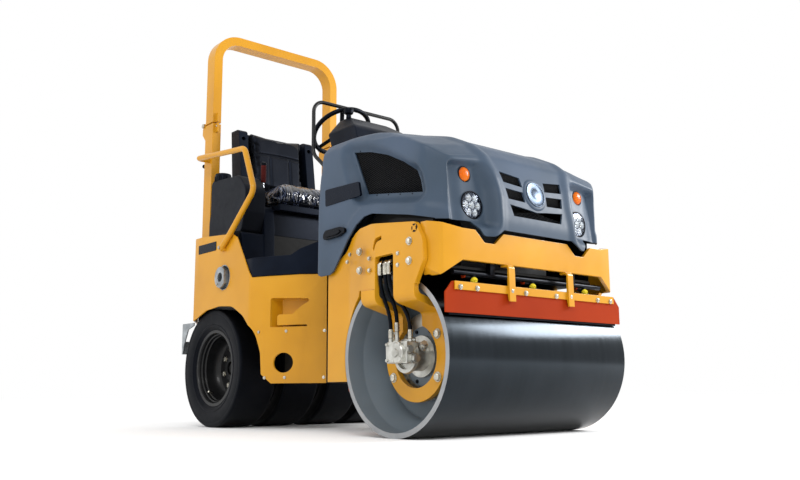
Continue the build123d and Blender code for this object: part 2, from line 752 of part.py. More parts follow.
# ---------------------------------------------------------------- platform, seat, controls
def make_platform():
    """Black tray the driver stands on, with a raised lip along both sides."""
    half = body_half_width - skin - face_gap
    lip = 14
    edge = [                 # right edge from back to front, x and y
        (bulkhead_x + face_gap, -half), (-402, -half), (-379, -582), (-376, -595), (-300, -566),
        (-98, -458), (-2, -346), (150, -180),
    ]
    inner_edge = [
        (bulkhead_x + face_gap - 1, -half + lip), (-404, -half + lip), (-380, -567),
        (-307, -552), (-106, -446), (-12, -338), (150 - lip, -168),
    ]
    tray = plan_shape(mirrored_loop(edge), deck_z + 2, 1035)
    tray -= plan_shape(mirrored_loop(inner_edge), deck_z + 2 + floor_plate, 1040)
    top_line = side_shape([
        (bulkhead_x - 5, lip_top_z, 0), (-150, lip_top_z, 0), (-20, 1030, 0), (40, 1040, 0),
        (40, deck_z + 2 + floor_plate, 0), (200, deck_z + 2 + floor_plate, 0), (200, 1100, 0),
        (bulkhead_x - 5, 1100, 0),
    ], -700, 700)
    return one_of(tray - top_line)


def mirrored_loop(edge):
    """Closed sharp-cornered outline from the points of its right edge. Columns: x, y, radius."""
    return [(x, y, 0) for x, y in edge] + [(x, -y, 0) for x, y in edge[::-1]]


def make_seat_base():
    """Box under the seat and its sliding frame."""
    return block(-950, bulkhead_x, seat_y - 250, seat_y + 250, cover_z, cushion_low_z - 40)


def make_cushion():
    return side_shape([
        (seat_back_x + 90, cushion_low_z, 15), (cushion_front_x, cushion_low_z, 30),
        (cushion_front_x, cushion_high_z, 35), (seat_back_x + 90, cushion_high_z - 20, 15),
    ], seat_y - cushion_half_width, seat_y + cushion_half_width)


def make_backrest():
    return side_shape([
        (seat_back_x + 10, cushion_high_z + 5, 30), (seat_back_x + 92, cushion_high_z + 5, 30),
        (seat_back_x + 30, 1905, 30), (seat_back_x - 38, 1905, 30),
    ], seat_y - 215, seat_y + 215)


def make_seat_shell():
    """Pan under the cushion and the moulded back with a wing on each side."""
    pan = block(seat_back_x + 60, cushion_front_x - 20, seat_y - 240, seat_y + 240,
                cushion_low_z - 40, cushion_low_z - seat_gap)
    shell = side_shape([
        (seat_back_x - 22, cushion_low_z - 40, 0), (seat_back_x + 62, cushion_low_z - 40, 0),
        (seat_back_x + 62, cushion_low_z - seat_gap, 0), (seat_back_x + 8, cushion_low_z + 40, 0),
        (seat_back_x - 47, 1895, 0), (seat_back_x - 70, 1895, 0),
    ], seat_y - 288, seat_y + 288)
    for y0, y1 in ((seat_y - 288, seat_y - 222), (seat_y + 222, seat_y + 288)):
        wing = side_shape([
            (seat_back_x - 30, 1480, 20), (seat_back_x + 95, 1440, 40),
            (seat_back_x + 30, 1895, 30), (seat_back_x - 60, 1895, 0),
        ], y0, y1)
        hole = Pos(seat_back_x, (y0 + y1) / 2, 1835) * Rot(0, 90, 0) * Cylinder(13, 260)
        shell += wing - hole
    return one_of(pan + shell)


def make_steering_wheel():
    """Rim, three spokes and hub with the shaft hole under it."""
    plane = steering_plane()
    rim = plane * Torus(steering_wheel_radius - steering_rim_radius, steering_rim_radius)
    wheel = rim + plane * Pos(0, 0, -12) * Cylinder(34, 40)
    for turn in (90, 210, 330):
        spoke = Pos((steering_wheel_radius - 20) / 2, 0, -4) * Box(steering_wheel_radius - 20, 26, 8)
        wheel += plane * Rot(0, 0, turn) * spoke
    wheel -= plane * Pos(0, 0, -22) * Cylinder(steering_shaft_radius + pin_fit, 30)
    return one_of(wheel)


def steering_plane():
    tilt = radians(steering_wheel_tilt)
    return Plane(origin=(steering_wheel_x, steering_wheel_y, steering_wheel_z),
                 x_dir=(cos(tilt), 0, sin(tilt)), z_dir=(-sin(tilt), 0, cos(tilt)))


def make_console():
    """Cowl in front of the driver with the column that reaches back to the wheel."""
    foot_z = deck_z + 2 + floor_plate
    cowl = side_shape([
        (-40, foot_z, 0), (110, foot_z, 0), (130, 1040, 0), (168, 1420, 60), (90, 1690, 70),
        (-90, 1800, 50), (-150, 1780, 20), (-170, 1690, 30), (-60, 1420, 60),
    ], -225, 225)
    cowl &= front_shape([
        (-226, foot_z - 1, 0), (226, foot_z - 1, 0), (226, 1690, 40), (150, 1790, 60),
        (60, 1805, 0), (-60, 1805, 0), (-150, 1790, 60), (-226, 1690, 40),
    ], -200, 200)
    cowl -= block(-60, 200, -230, -150, foot_z - 5, 1060)
    cowl -= block(-60, 200, 150, 230, foot_z - 5, 1060)
    plane = steering_plane()
    column = plane * Pos(0, 0, -136) * Cylinder(column_radius, 200)
    shaft = plane * Pos(0, 0, -30) * Cylinder(steering_shaft_radius, 42)
    return one_of(cowl + column + shaft)


def make_console_guard():
    """Black tube arch round the console."""
    half = 320
    x = -182
    points = [(60, -226 - guard_tube_radius, 1240), (60, -half + 40, 1330), (x, -half, 1560),
              (x, -half, 1885), (x, half, 1885), (x, half, 1560),
              (60, half - 40, 1330), (60, 226 + guard_tube_radius, 1240)]
    return tube(points, [30, 80, 70, 70, 80, 30], guard_tube_radius)


def make_travel_lever():
    """Lever at the driver's right with its round grip and boot."""
    x = bulkhead_x - 50
    y = -(tank_inner_y + seat_side_y) / 2
    lever = upright(x, y, 8, lever_box_z, 1500)
    lever += upright(x, y, 14, 1490, 1600)
    lever += upright(x, y, 22, lever_box_z, lever_box_z + 40)
    return lever


def make_tanks():
    """Moulded plastic tanks beside the seat, in front of the roll bar posts."""
    tank = side_shape([
        (-1000, cover_z, 15), (-600, cover_z, 30), (-560, 1260, 60),
        (-553, 1400, 90), (-640, 1492, 80), (-985, 1512, 30), (-985, 1300, 30), (-1000, 1250, 30),
    ], -tank_outer_y, -tank_inner_y)
    tank += upright(-935, -490, 50, 1495, 1560)
    return both_sides(one_of(tank))


def make_side_covers():
    """Dark moulded covers beside the seat: a low one under the tank, a high one that holds the lever."""
    floor = deck_z + 2 + floor_plate
    front = bulkhead_x + 34
    low = side_shape([
        (bulkhead_x + face_gap, floor, 0), (front + 6, floor, 0), (front, cover_z - 6, 20),
        (bulkhead_x + face_gap, cover_z - 6, 0),
    ], -tank_outer_y - 10, -tank_inner_y + 5)
    high = side_shape([
        (bulkhead_x + face_gap, floor, 0), (front + 6, floor, 0), (front, 1180, 40),
        (front - 20, lever_box_z, 50), (front - 170, lever_box_z, 50), (front - 190, cover_z, 0),
        (bulkhead_x + face_gap, cover_z, 0),
    ], -tank_inner_y + face_gap, -seat_side_y)
    return both_sides(one_of(low + high))


# ---------------------------------------------------------------- roll bar and rails
def make_rollbar_posts():
    """Right post with the two eyes of the folding pin and half of the front catch."""
    x0 = rollbar_x - rollbar_depth / 2
    x1 = rollbar_x + rollbar_depth / 2
    y0 = -rollbar_outer_y
    y1 = y0 + rollbar_width
    top = rollbar_fold_z - fold_gap / 2
    post = block(x0, x1, y0, y1, arch_top_z + 25 + frame_plate, top)
    for y in (y0, y1 - 12):
        post += side_shape([
            (x0 + 5, rollbar_fold_z - 110, 0), (x0 + 5, top, 0), (rollbar_fold_x, top, 0),
            (rollbar_fold_x - fold_eye_radius, rollbar_fold_z - 20, 0),
            (rollbar_fold_x - fold_eye_radius, rollbar_fold_z - 60, 0),
        ], y, y + 12)
        post += drum_like(rollbar_fold_x, rollbar_fold_z, fold_eye_radius, y, y + 12)
    post += drum_like(rollbar_fold_x, rollbar_fold_z, fold_pin_radius, y0 - 8, y1 + 8)
    post += block(x1 - 2, x1 + 26, y0 + 20, y0 + 32, top - 60, top)
    return one_of(post)


def make_rollbar_hoop():
    x0 = rollbar_x - rollbar_depth / 2
    x1 = rollbar_x + rollbar_depth / 2
    low = rollbar_fold_z + fold_gap / 2
    y_out = rollbar_outer_y
    y_in = y_out - rollbar_width
    z_in = rollbar_top_z - rollbar_width
    hoop = front_shape([
        (-y_out, low, 0), (-y_out, rollbar_top_z, rollbar_bend), (y_out, rollbar_top_z, rollbar_bend),
        (y_out, low, 0),
    ], x0, x1)
    hoop -= front_shape([
        (-y_in, low - 5, 0), (-y_in, z_in, rollbar_bend - rollbar_width),
        (y_in, z_in, rollbar_bend - rollbar_width), (y_in, low - 5, 0),
    ], x0 - 5, x1 + 5)
    for side in (-1, 1):
        y0, y1 = sorted((side * (y_in + 19), side * (y_out - 19)))
        lug = side_shape([
            (x0 + 2, low, 0), (x0 + 2, low + 110, 0),
            (rollbar_fold_x - fold_eye_radius, rollbar_fold_z + 30, 0),
            (rollbar_fold_x - fold_eye_radius, rollbar_fold_z, 0), (rollbar_fold_x, rollbar_fold_z, 0),
            (rollbar_fold_x + 10, low, 0),
        ], y0, y1)
        lug += drum_like(rollbar_fold_x, rollbar_fold_z, fold_eye_radius, y0, y1)
        lug -= drum_like(rollbar_fold_x, rollbar_fold_z, fold_pin_radius + pin_fit, y0 - 5, y1 + 5)
        hoop += lug
        catch_y0, catch_y1 = sorted((side * (y_out - 20), side * (y_out - 32)))
        hoop += block(x1 - 2, x1 + 26, catch_y0, catch_y1, low, low + 60)
    return one_of(hoop)


def make_handrail():
    """Right rail: bolted to the roll bar post, bent round the way up, clamped to the panel."""
    foot_y = -body_half_width - rail_tube_radius - 1
    points = [(-1125, -rollbar_outer_y, 1690), (-1125, -572, 1690), (-525, -575, 1625),
              (-380, -590, 1345), (-590, foot_y, 1120), (-700, foot_y, 1040)]
    rail = tube(points, [25, 60, 60, 100], rail_tube_radius)
    rail += block(-712, -672, foot_y, -body_half_width, 1028, 1063)
    return one_of(rail)


# ---------------------------------------------------------------- hood
def hood_solid(inset):
    """Outer form of the hood, or the same form made smaller by inset."""
    side = side_shape([
        (hood_rear_x + inset, 700, 0), (hood_rear_x + 8 + inset, 1440 - inset, 40),
        (360, 1478 - inset, 60), (800, 1440 - inset, 300), (1080, 1335 - inset, 60),
        (1150 - inset, 1290 - inset, 40), (1207 - inset, 1120, 0), (1226 - inset, 960, 20),
        (1210 - inset, 700, 0),
    ], -620, 620)
    half = hood_half_width - inset
    shoulder = [             # right half, from the foot up: y, z, corner radius
        (-half, 700, 0), (-half, 1040, 0), (-half + 8, 1250, 100), (-half + 22, 1405 - inset, 50),
        (-half + 70, 1455 - inset, 60), (-300, 1480 - inset, 60),
    ]
    across = front_shape(shoulder + [(-y, z, r) for y, z, r in shoulder[::-1]], 200, 1300)
    plan = plan_shape([
        (200, -half, 0), (1060, -half, 60), (1178 - inset, -500, 40), (1226 - inset, -300, 100),
        (1226 - inset, 300, 100), (1178 - inset, 500, 40), (1060, half, 60), (200, half, 0),
    ], 600, 1600)
    return side & across & plan


def make_hood():
    """Open-bottomed shell: lower edge along the plates, two tips in the beam's notches."""
    shell = hood_solid(0) - hood_solid(hood_wall)
    shell -= side_shape([
        (200, 650, 0), (200, 830, 0), (276, 850, 0), (300, 770, 20), (420, 770, 20),
        (550, 921, 40), (681, 1024, 40), (1110, 950, 0), (1110, 650, 0),
    ], -650, 650)
    edge = [                 # lower edge across the front, right half: y and z
        (-700, 945), (-notch_y - 80, 945), (-notch_y - 36, 882), (-notch_y + 20, 882),
        (-notch_y + 75, hood_low_z), (0, hood_low_z),
    ]
    corners = [(y, z, 0) for y, z in edge[:-1]] + [(-y, z, 0) for y, z in edge[-2::-1]]
    shell -= front_shape([(-700, 650, 0)] + corners + [(700, 650, 0)], 1105, 1300)
    return one_of(shell)


# ---------------------------------------------------------------- write the parts
parts = {
    "drum": make_drum(),
    "front_side_plates": make_front_side_plates(),
    "front_beam": make_front_beam(),
    "front_frame": make_front_frame(),
    "steering_barrel": make_steering_barrel(),
    "steering_rod": make_steering_rod(),
    "engine_block": make_engine(),
    "hub_motors": make_hub_motors(),
    "hose_fittings": make_hose_fittings(),
    "front_scraper": make_front_scraper(),
    "scraper_blade": make_scraper_blade(),
    "scraper_rubber": make_scraper_rubber(),
    "rear_scraper": make_rear_scraper(),
    "spray_bar": make_spray_bar(),
    "rear_side_panels": make_rear_side_panels(),
    "rear_frame": make_rear_frame(),
    "rear_cover": make_rear_cover(),
    "rear_bracket": make_rear_bracket(),
    "lashing_eyes": both_sides(make_lashing_eyes()),
    "step_pockets": both_sides(make_step_pocket()),
    "platform": make_platform(),
    "seat_base": make_seat_base(),
    "seat_shell": make_seat_shell(),
    "seat_cushion": make_cushion(),
    "seat_backrest": make_backrest(),
    "steering_wheel": make_steering_wheel(),
    "console": make_console(),
    "console_guard": make_console_guard(),
    "travel_lever": make_travel_lever(),
    "side_tanks": make_tanks(),
    "side_covers": make_side_covers(),
    "rollbar_posts": both_sides(make_rollbar_posts()),
    "rollbar_hoop": make_rollbar_hoop(),
    "handrails": both_sides(make_handrail()),
    "hood": make_hood(),
}
for hose_name in hose_routes:
    parts[hose_name] = make_hose(hose_name)
for side_name, side in (("right", -1), ("left", 1)):
    parts[side_name + "_wheel_hub"] = make_wheel_hub(side)
    parts[side_name + "_outer_tyre"] = make_tyre(side * outer_tyre_y)
    parts[side_name + "_inner_tyre"] = make_tyre(side * inner_tyre_y)

for name, shape in parts.items():
    export_step(shape, f"parts/{name}.step")
    print(name, len(shape.solids()), "solids")
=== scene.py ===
# %% [markdown]
# An articulated road roller: one smooth steel drum in front, four smooth tyres behind,
# a tilting hood, a driver's seat and a folding roll bar. The CAD model gives every part's
# place in metres, so this script loads it first, keeps its size, and then gives each part
# the finish and the small detail that the real machine has.

# %% Load the frame
import bmesh
import bpy
import json
import math
from mathutils import Matrix, Vector


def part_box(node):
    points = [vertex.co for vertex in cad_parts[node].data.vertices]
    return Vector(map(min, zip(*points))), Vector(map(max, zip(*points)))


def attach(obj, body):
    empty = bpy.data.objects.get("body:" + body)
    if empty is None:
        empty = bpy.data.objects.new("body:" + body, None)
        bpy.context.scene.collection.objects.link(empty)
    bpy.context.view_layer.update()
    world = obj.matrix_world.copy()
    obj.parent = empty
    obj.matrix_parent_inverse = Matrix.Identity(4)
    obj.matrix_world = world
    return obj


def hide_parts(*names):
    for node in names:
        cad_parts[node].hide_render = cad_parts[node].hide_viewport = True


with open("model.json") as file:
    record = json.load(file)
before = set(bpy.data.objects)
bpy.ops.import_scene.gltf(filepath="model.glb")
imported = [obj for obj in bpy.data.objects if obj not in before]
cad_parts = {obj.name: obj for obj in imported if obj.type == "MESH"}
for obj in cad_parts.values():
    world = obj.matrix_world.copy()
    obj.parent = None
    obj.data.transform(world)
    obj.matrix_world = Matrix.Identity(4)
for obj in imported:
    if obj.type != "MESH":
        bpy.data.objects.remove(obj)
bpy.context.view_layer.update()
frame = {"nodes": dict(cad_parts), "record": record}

body_of = {node: body for body, nodes in frame["record"]["behaviour"]["bodies"].items()
           for node in nodes}

# %% [markdown]
# Paint colours are easier to choose as the hex codes of a colour picker, but shaders work
# in linear light. One function converts a code once, so that every material below can be
# given the colour that the eye would name. A second one adds any shader node, with its
# settings and its links in one line, so that each recipe below reads from top to bottom.

# %% Colours and nodes
def colour(code):
    """Hex colour as linear red, green, blue and alpha."""
    channels = [int(code[i:i + 2], 16) / 255 for i in (1, 3, 5)]
    linear = [c / 12.92 if c <= 0.04045 else ((c + 0.055) / 1.055) ** 2.4 for c in channels]
    return (*linear, 1)


def add_node(material, kind, settings=None, links=None):
    """Adds a shader node. Settings name properties, sockets or colour stops, links its inputs."""
    tree = material.node_tree
    node = tree.nodes.new(kind)
    for name, value in (settings or {}).items():
        if name == "stops":
            elements = node.color_ramp.elements
            while len(elements) < len(value):
                elements.new(0.5)
            for element, (place, code) in zip(elements, value):
                element.position, element.color = place, colour(code)
        elif isinstance(name, str) and hasattr(node, name):
            setattr(node, name, value)
        else:
            node.inputs[name].default_value = value
    for name, source in (links or {}).items():
        tree.links.new(source, node.inputs[name])
    return node


materials = {}


def new_material(name, base, roughness, metallic=0, **sockets):
    """Material with one Principled shader. Sockets are set on the shader itself."""
    material = materials[name] = bpy.data.materials.new(name)
    material.use_nodes = True
    shader = material.node_tree.nodes["Principled BSDF"]
    shader.inputs["Base Color"].default_value = colour(base)
    shader.inputs["Roughness"].default_value = roughness
    shader.inputs["Metallic"].default_value = metallic
    for socket, value in sockets.items():
        shader.inputs[socket.replace("_", " ")].default_value = value
    return material


def feed(material, links):
    """Links outputs to the sockets of the material's shader."""
    shader = material.node_tree.nodes["Principled BSDF"]
    for socket, output in links.items():
        material.node_tree.links.new(output, shader.inputs[socket])


print("white is", colour("#FFFFFF"))

# %% [markdown]
# Nearly every finish drifts a little in tone, and its gloss is uneven too. Both are soft
# noise on Object coordinates, so that the pattern stays on the piece when the piece moves.
# Noise is counted in waves per metre: 18 waves are blotches about 55 mm wide.

# %% Drift in tone and gloss
def blotches(material, place, waves, detail, stops):
    """Slow drift in tone: noise read through a row of colours."""
    drift = add_node(material, "ShaderNodeTexNoise", {"Scale": waves, "Detail": detail},
                     {"Vector": place}).outputs["Fac"]
    return add_node(material, "ShaderNodeValToRGB", {"stops": stops},
                    {"Fac": drift}).outputs["Color"]


def uneven_gloss(material, place, waves, detail, low, high):
    """Roughness that wanders between low and high."""
    smears = add_node(material, "ShaderNodeTexNoise", {"Scale": waves, "Detail": detail},
                      {"Vector": place}).outputs["Fac"]
    return add_node(material, "ShaderNodeMapRange", {"To Min": low, "To Max": high},
                    {"Value": smears}).outputs["Result"]


print("two ways to vary a finish")

# %% [markdown]
# Sprayed enamel is never one flat colour. It has a slow drift in tone from panel to
# panel, a fine orange peel in its gloss, and thin road dust near the ground. The drift
# is half a metre wide and the dust's patches 70 mm. The real peel is 2 mm wide, too fine
# to show in the render, so it is drawn 11 mm wide. Shine is how strongly the paint
# reflects. It is kept low, because the white sky would wash the colour out.

# %% Painted finishes
def enamel(name, dark, base, light, roughness, dust="#6E5F4A", dust_top=0.6, coat=0.15,
           shine=0.25):
    """Sprayed paint: tone drift, orange peel, and dust that fades out upwards."""
    material = new_material(name, base, roughness, Coat_Weight=coat, Coat_Roughness=0.08,
                            Specular_IOR_Level=shine)
    place = add_node(material, "ShaderNodeTexCoord").outputs["Object"]
    tone = blotches(material, place, 2.2, 3, [(0.3, dark), (0.5, base), (0.72, light)])
    height = add_node(material, "ShaderNodeSeparateXYZ", None, {"Vector": place}).outputs["Z"]
    low = add_node(material, "ShaderNodeMapRange",
                   {"From Min": dust_top, "From Max": 0.1, "To Min": 0.0, "To Max": 0.25},
                   {"Value": height}).outputs["Result"]
    grit = add_node(material, "ShaderNodeTexNoise", {"Scale": 14, "Detail": 8},
                    {"Vector": place}).outputs["Fac"]
    dusty = add_node(material, "ShaderNodeMath", {"operation": "MULTIPLY"},
                     {0: low, 1: grit}).outputs["Value"]
    mixed = add_node(material, "ShaderNodeMix", {"data_type": "RGBA", 7: colour(dust)},
                     {0: dusty, 6: tone}).outputs[2]
    gloss = uneven_gloss(material, place, 30, 5, roughness - 0.06, roughness + 0.1)
    peel = add_node(material, "ShaderNodeTexNoise", {"Scale": 90, "Detail": 1},
                    {"Vector": place}).outputs["Fac"]
    relief = add_node(material, "ShaderNodeBump", {"Strength": 0.04, "Distance": 0.0006},
                      {"Height": peel}).outputs["Normal"]
    feed(material, {"Base Color": mixed, "Roughness": gloss, "Normal": relief})


# yellow-orange two-pack enamel on the plates, panels and roll bar: warm, even gloss
enamel("yellow_enamel", "#BE8410", "#CA8E15", "#D0951D", 0.3)
# slate blue-grey enamel on the moulded hood: cool, with a wide soft sheen
enamel("slate_enamel", "#364453", "#3D4C5E", "#445367", 0.44, coat=0)
# orange-red enamel on the scraper plates: a strong colour with very little gloss
enamel("red_enamel", "#8E2A05", "#962E06", "#9E3408", 0.5, coat=0, shine=0.06)
# satin black enamel on tubes and wheel centres: dark with soft highlights
enamel("black_enamel", "#08090A", "#0B0C0E", "#0F1012", 0.38, "#1C1A17")
# dull black chassis paint inside the rear body: no highlight at all
enamel("chassis_paint", "#0A0A0A", "#0E0E0E", "#141312", 0.6)
# slate paint inside the ends of the drum: paler and greyer than the hood
enamel("slate_drum_paint", "#59646C", "#626D76", "#6A767F", 0.42, "#6A655C", 0.4)
print(len(materials), "paints")

# %% [markdown]
# The drum is the biggest single surface. Outside it is bare rolled steel: road work
# polishes it, and the polishing leaves faint streaks that run round the drum, so the
# pattern changes quickly along the axle and slowly round it. Real streaks are a few
# millimetres wide, and these are drawn 17 mm wide so that they show. Steel that is cast,
# zinc plated or galvanised has no direction, only pits and slow blotches of tone. Cast
# pits are 7 mm wide here, drawn coarser than the real grain of about 1 mm.

# %% Bare metals
def streaked_metal(name, dark, light, roughness, squeeze, waves):
    """Bare steel with lines round its axle. Squeeze is how much finer they are along it."""
    material = new_material(name, light, roughness, 1.0)
    place = add_node(material, "ShaderNodeTexCoord").outputs["Object"]
    drawn = add_node(material, "ShaderNodeMapping", {"Scale": (1, squeeze, 1)},
                     {"Vector": place}).outputs["Vector"]
    lines = add_node(material, "ShaderNodeTexNoise", {"Scale": waves, "Detail": 6},
                     {"Vector": drawn}).outputs["Fac"]
    clouds = add_node(material, "ShaderNodeTexNoise", {"Scale": 5, "Detail": 4},
                      {"Vector": place}).outputs["Fac"]
    both = add_node(material, "ShaderNodeMath", {"operation": "MULTIPLY_ADD", 1: 0.5},
                    {0: lines, 2: clouds}).outputs["Value"]
    tone = add_node(material, "ShaderNodeValToRGB", {"stops": [(0.35, dark), (1.0, light)]},
                    {"Fac": both}).outputs["Color"]
    gloss = add_node(material, "ShaderNodeMapRange",
                     {"To Min": roughness - 0.05, "To Max": roughness + 0.07},
                     {"Value": lines}).outputs["Result"]
    relief = add_node(material, "ShaderNodeBump", {"Strength": 0.04, "Distance": 0.0004},
                      {"Height": lines}).outputs["Normal"]
    feed(material, {"Base Color": tone, "Roughness": gloss, "Normal": relief})


def pitted_metal(name, dark, light, roughness, grain, metallic, depth):
    """Cast, plated or galvanised metal: pits, grain to the metre, and slow blotches."""
    material = new_material(name, light, roughness, metallic)
    place = add_node(material, "ShaderNodeTexCoord").outputs["Object"]
    tone = blotches(material, place, 18, 6, [(0.3, dark), (0.7, light)])
    gloss = uneven_gloss(material, place, 45, 4, max(roughness - 0.1, 0.03), roughness + 0.12)
    pits = add_node(material, "ShaderNodeTexNoise", {"Scale": grain, "Detail": 4},
                    {"Vector": place}).outputs["Fac"]
    relief = add_node(material, "ShaderNodeBump", {"Strength": depth, "Distance": 0.0008},
                      {"Height": pits}).outputs["Normal"]
    feed(material, {"Base Color": tone, "Roughness": gloss, "Normal": relief})


# rolled steel of the drum, dark and polished by the road: a soft bright band under a light
streaked_metal("rolled_steel", "#24292D", "#2C3136", 0.18, 30, 2)
# turned edge of the drum's shell: lighter, with rings from the lathe
streaked_metal("turned_steel", "#85888B", "#A9ABAD", 0.42, 6, 30)
# sand-cast aluminium of the hydraulic motors: silvery and grainy
pitted_metal("cast_aluminium", "#A09F98", "#D2D2CC", 0.34, 140, 0.9, 0.35)
# zinc plating on bolts and hose ends, with a faint yellow passivation
pitted_metal("zinc_plate", "#A5A198", "#D8D4C6", 0.26, 300, 1.0, 0.1)
# hot-dip galvanised brackets and lashing eyes: matt, mottled grey
pitted_metal("galvanised_steel", "#83888C", "#B4B9BC", 0.45, 60, 0.85, 0.2)
# polished chrome on the cylinder's rod, the lever's rod and the bowls of the headlights
pitted_metal("chrome", "#B9BCC2", "#D2D5DA", 0.08, 400, 1.0, 0.02)
# black chrome plating on the blank disc of the nose: a mirror that stays dark
pitted_metal("black_chrome", "#39424E", "#465160", 0.26, 400, 1.0, 0.02)
# painted cast iron of the engine: dull, with a coarse skin from the sand mould
pitted_metal("cast_iron", "#1C1D1E", "#2E2F30", 0.6, 120, 0.3, 0.4)
print(len(materials), "paints and metals")

# %% [markdown]
# Rubber, moulded plastic and vinyl are all near black, and only their grain and gloss
# tell them apart. Tyre rubber is dull with a faint bloom, moulded plastic has a pebbled
# skin from its mould, and vinyl has a leather print. The cells of these prints are 0.7 to
# 2.4 mm wide, the real size. From this far off no cell shows by itself, and together they
# take the edge off the gloss, as they should. Only the ribs of the lenses are wider. Under
# the white sky these dark skins would look pale, so their reflection is weak and bluish.

# %% Rubber, plastic and vinyl
def pebbled(name, dark, light, roughness, cells, depth, **sockets):
    """Moulded surface with a printed grain of the given number of cells per metre."""
    material = new_material(name, dark, roughness, Specular_IOR_Level=0.16,
                            Specular_Tint=colour("#9DB0D6"), **sockets)
    place = add_node(material, "ShaderNodeTexCoord").outputs["Object"]
    tone = blotches(material, place, 7, 5, [(0.35, dark), (0.7, light)])
    gloss = uneven_gloss(material, place, 25, 6, roughness - 0.08, roughness + 0.1)
    grain = add_node(material, "ShaderNodeTexVoronoi", {"Scale": cells},
                     {"Vector": place}).outputs["Distance"]
    relief = add_node(material, "ShaderNodeBump", {"Strength": depth, "Distance": 0.0006},
                      {"Height": grain}).outputs["Normal"]
    feed(material, {"Base Color": tone, "Roughness": gloss, "Normal": relief})
    return material


# vulcanised rubber of the smooth tyres: dull, slightly greyed by dust
pebbled("tyre_rubber", "#060606", "#0D0C0C", 0.55, 420, 0.12)
# nitrile rubber of hose covers and the scraper strip: a little shinier
pebbled("hose_rubber", "#060606", "#0C0C0D", 0.45, 700, 0.15)
# blue-black polypropylene of the floor tray, console, seat shell and covers
pebbled("polypropylene", "#080B12", "#0E131D", 0.42, 900, 0.12)
# rotation-moulded polyethylene of the tanks: duller and greyer
pebbled("polyethylene", "#101114", "#16181C", 0.5, 700, 0.15)
# black vinyl of the seat back with its leather print
pebbled("seat_vinyl", "#101114", "#191A1E", 0.33, 520, 0.2)
# black nylon of caps, knobs, latches and nozzle bodies
pebbled("black_nylon", "#050506", "#0A0A0B", 0.33, 1200, 0.08)
# yellow nylon of the spray nozzles: a bright dot of colour
pebbled("yellow_nylon", "#D8C21E", "#E8D63A", 0.4, 900, 0.1)
# red-brown rubber grip of the travel lever
pebbled("grip_rubber", "#40120A", "#571B10", 0.5, 600, 0.2)
# blank plates of dark anodised aluminium: flat and satin
pebbled("anodised_plate", "#060A12", "#0B111C", 0.25, 1500, 0.03)
# black sheet behind the hood's mesh: painted shade that stands in for the dark engine bay, and it
# swallows light
pebbled("painted_shade_sheet", "#050606", "#0B0C0E", 0.9, 900, 0.3)
# frosted glass bulb in each bowl: the pale dot in its middle
pebbled("frosted_glass", "#E9E6DA", "#F4F2EA", 0.3, 800, 0.05)
# clear polycarbonate lens of the headlights
pebbled("polycarbonate", "#F2F6F8", "#FAFCFD", 0.1, 90, 0.02, Transmission_Weight=1.0, IOR=1.58)
# amber acrylic lens of the indicators, with ribs that scatter its light
pebbled("amber_acrylic", "#E06206", "#F5861A", 0.16, 160, 0.5, Transmission_Weight=0.3, IOR=1.49)
print(len(materials), "materials")

# %% [markdown]
# The new cushion still wears its clear film. The film is the shader's coat, whose own
# normal has wrinkles. Pale painted glints lie in the base colour along their crests. Real
# film creases every few centimetres. This noise has waves of 17 by 8 cm, wide enough to show as
# separate folds.

# %% Film on the cushion
# black vinyl under clear wrinkled film: painted highlights of bright, broken glints in the base
# colour over a dark surface
film = pebbled("filmed_vinyl", "#06080E", "#0C1019", 0.4, 520, 0.2, Coat_Weight=1.0,
               Coat_Roughness=0.07, Coat_IOR=1.7)
film_place = add_node(film, "ShaderNodeTexCoord").outputs["Object"]
film_drawn = add_node(film, "ShaderNodeMapping",
                      {"Scale": (1.0, 2.2, 1.0), "Rotation": (0, 0, math.radians(35))},
                      {"Vector": film_place}).outputs["Vector"]
film_folds = add_node(film, "ShaderNodeTexNoise", {"Scale": 6, "Detail": 2, "Distortion": 1.0},
                      {"Vector": film_drawn}).outputs["Fac"]
film_level = add_node(film, "ShaderNodeMath", {"operation": "SUBTRACT", 1: 0.5},
                      {0: film_folds}).outputs["Value"]
film_crest = add_node(film, "ShaderNodeMath", {"operation": "ABSOLUTE"},
                      {0: film_level}).outputs["Value"]
# the pale stop on the wrinkle crests is a painted glint in the base colour
film_tone_with_painted_glints = add_node(film, "ShaderNodeValToRGB",
                     {"stops": [(0.0, "#626B80"), (0.014, "#20263A"), (0.05, "#080A12")]},
                     {"Fac": film_crest}).outputs["Color"]
film_relief = add_node(film, "ShaderNodeBump", {"Strength": 0.6, "Distance": 0.03},
                       {"Height": film_crest}).outputs["Normal"]
feed(film, {"Base Color": film_tone_with_painted_glints, "Coat Normal": film_relief})
print("with the film", len(materials), "materials")

# %% [markdown]
# Every CAD part has knife-sharp edges, but bent plate, castings and mouldings have small
# rounded ones that catch the light, and that thin highlight is what makes a part look
# real. A CAD mesh is loose triangles, so the helper copies it, merges its doubles,
# dissolves its flat triangles into whole faces, and bevels each sharp edge a little.

# %% Finished pieces
SHARP = math.radians(38)     # a fold steeper than this is an edge, and not a curve
MERGE = 2e-5                 # points of a CAD mesh closer than this, in metres, are one
WELD = 1e-5                  # and those of a turned shape


def placed(name, data):
    """New object in the scene."""
    thing = bpy.data.objects.new(name, data)
    bpy.context.scene.collection.objects.link(thing)
    return thing


def mesh_of(name, shape):
    """Mesh made from a bmesh, which is freed."""
    mesh = bpy.data.meshes.new(name)
    shape.to_mesh(mesh)
    shape.free()
    return mesh


def sharp_edges(shape):
    """Edges where two faces meet at a steep fold."""
    return [edge for edge in shape.edges
            if len(edge.link_faces) == 2 and edge.calc_face_angle(0) > SHARP]


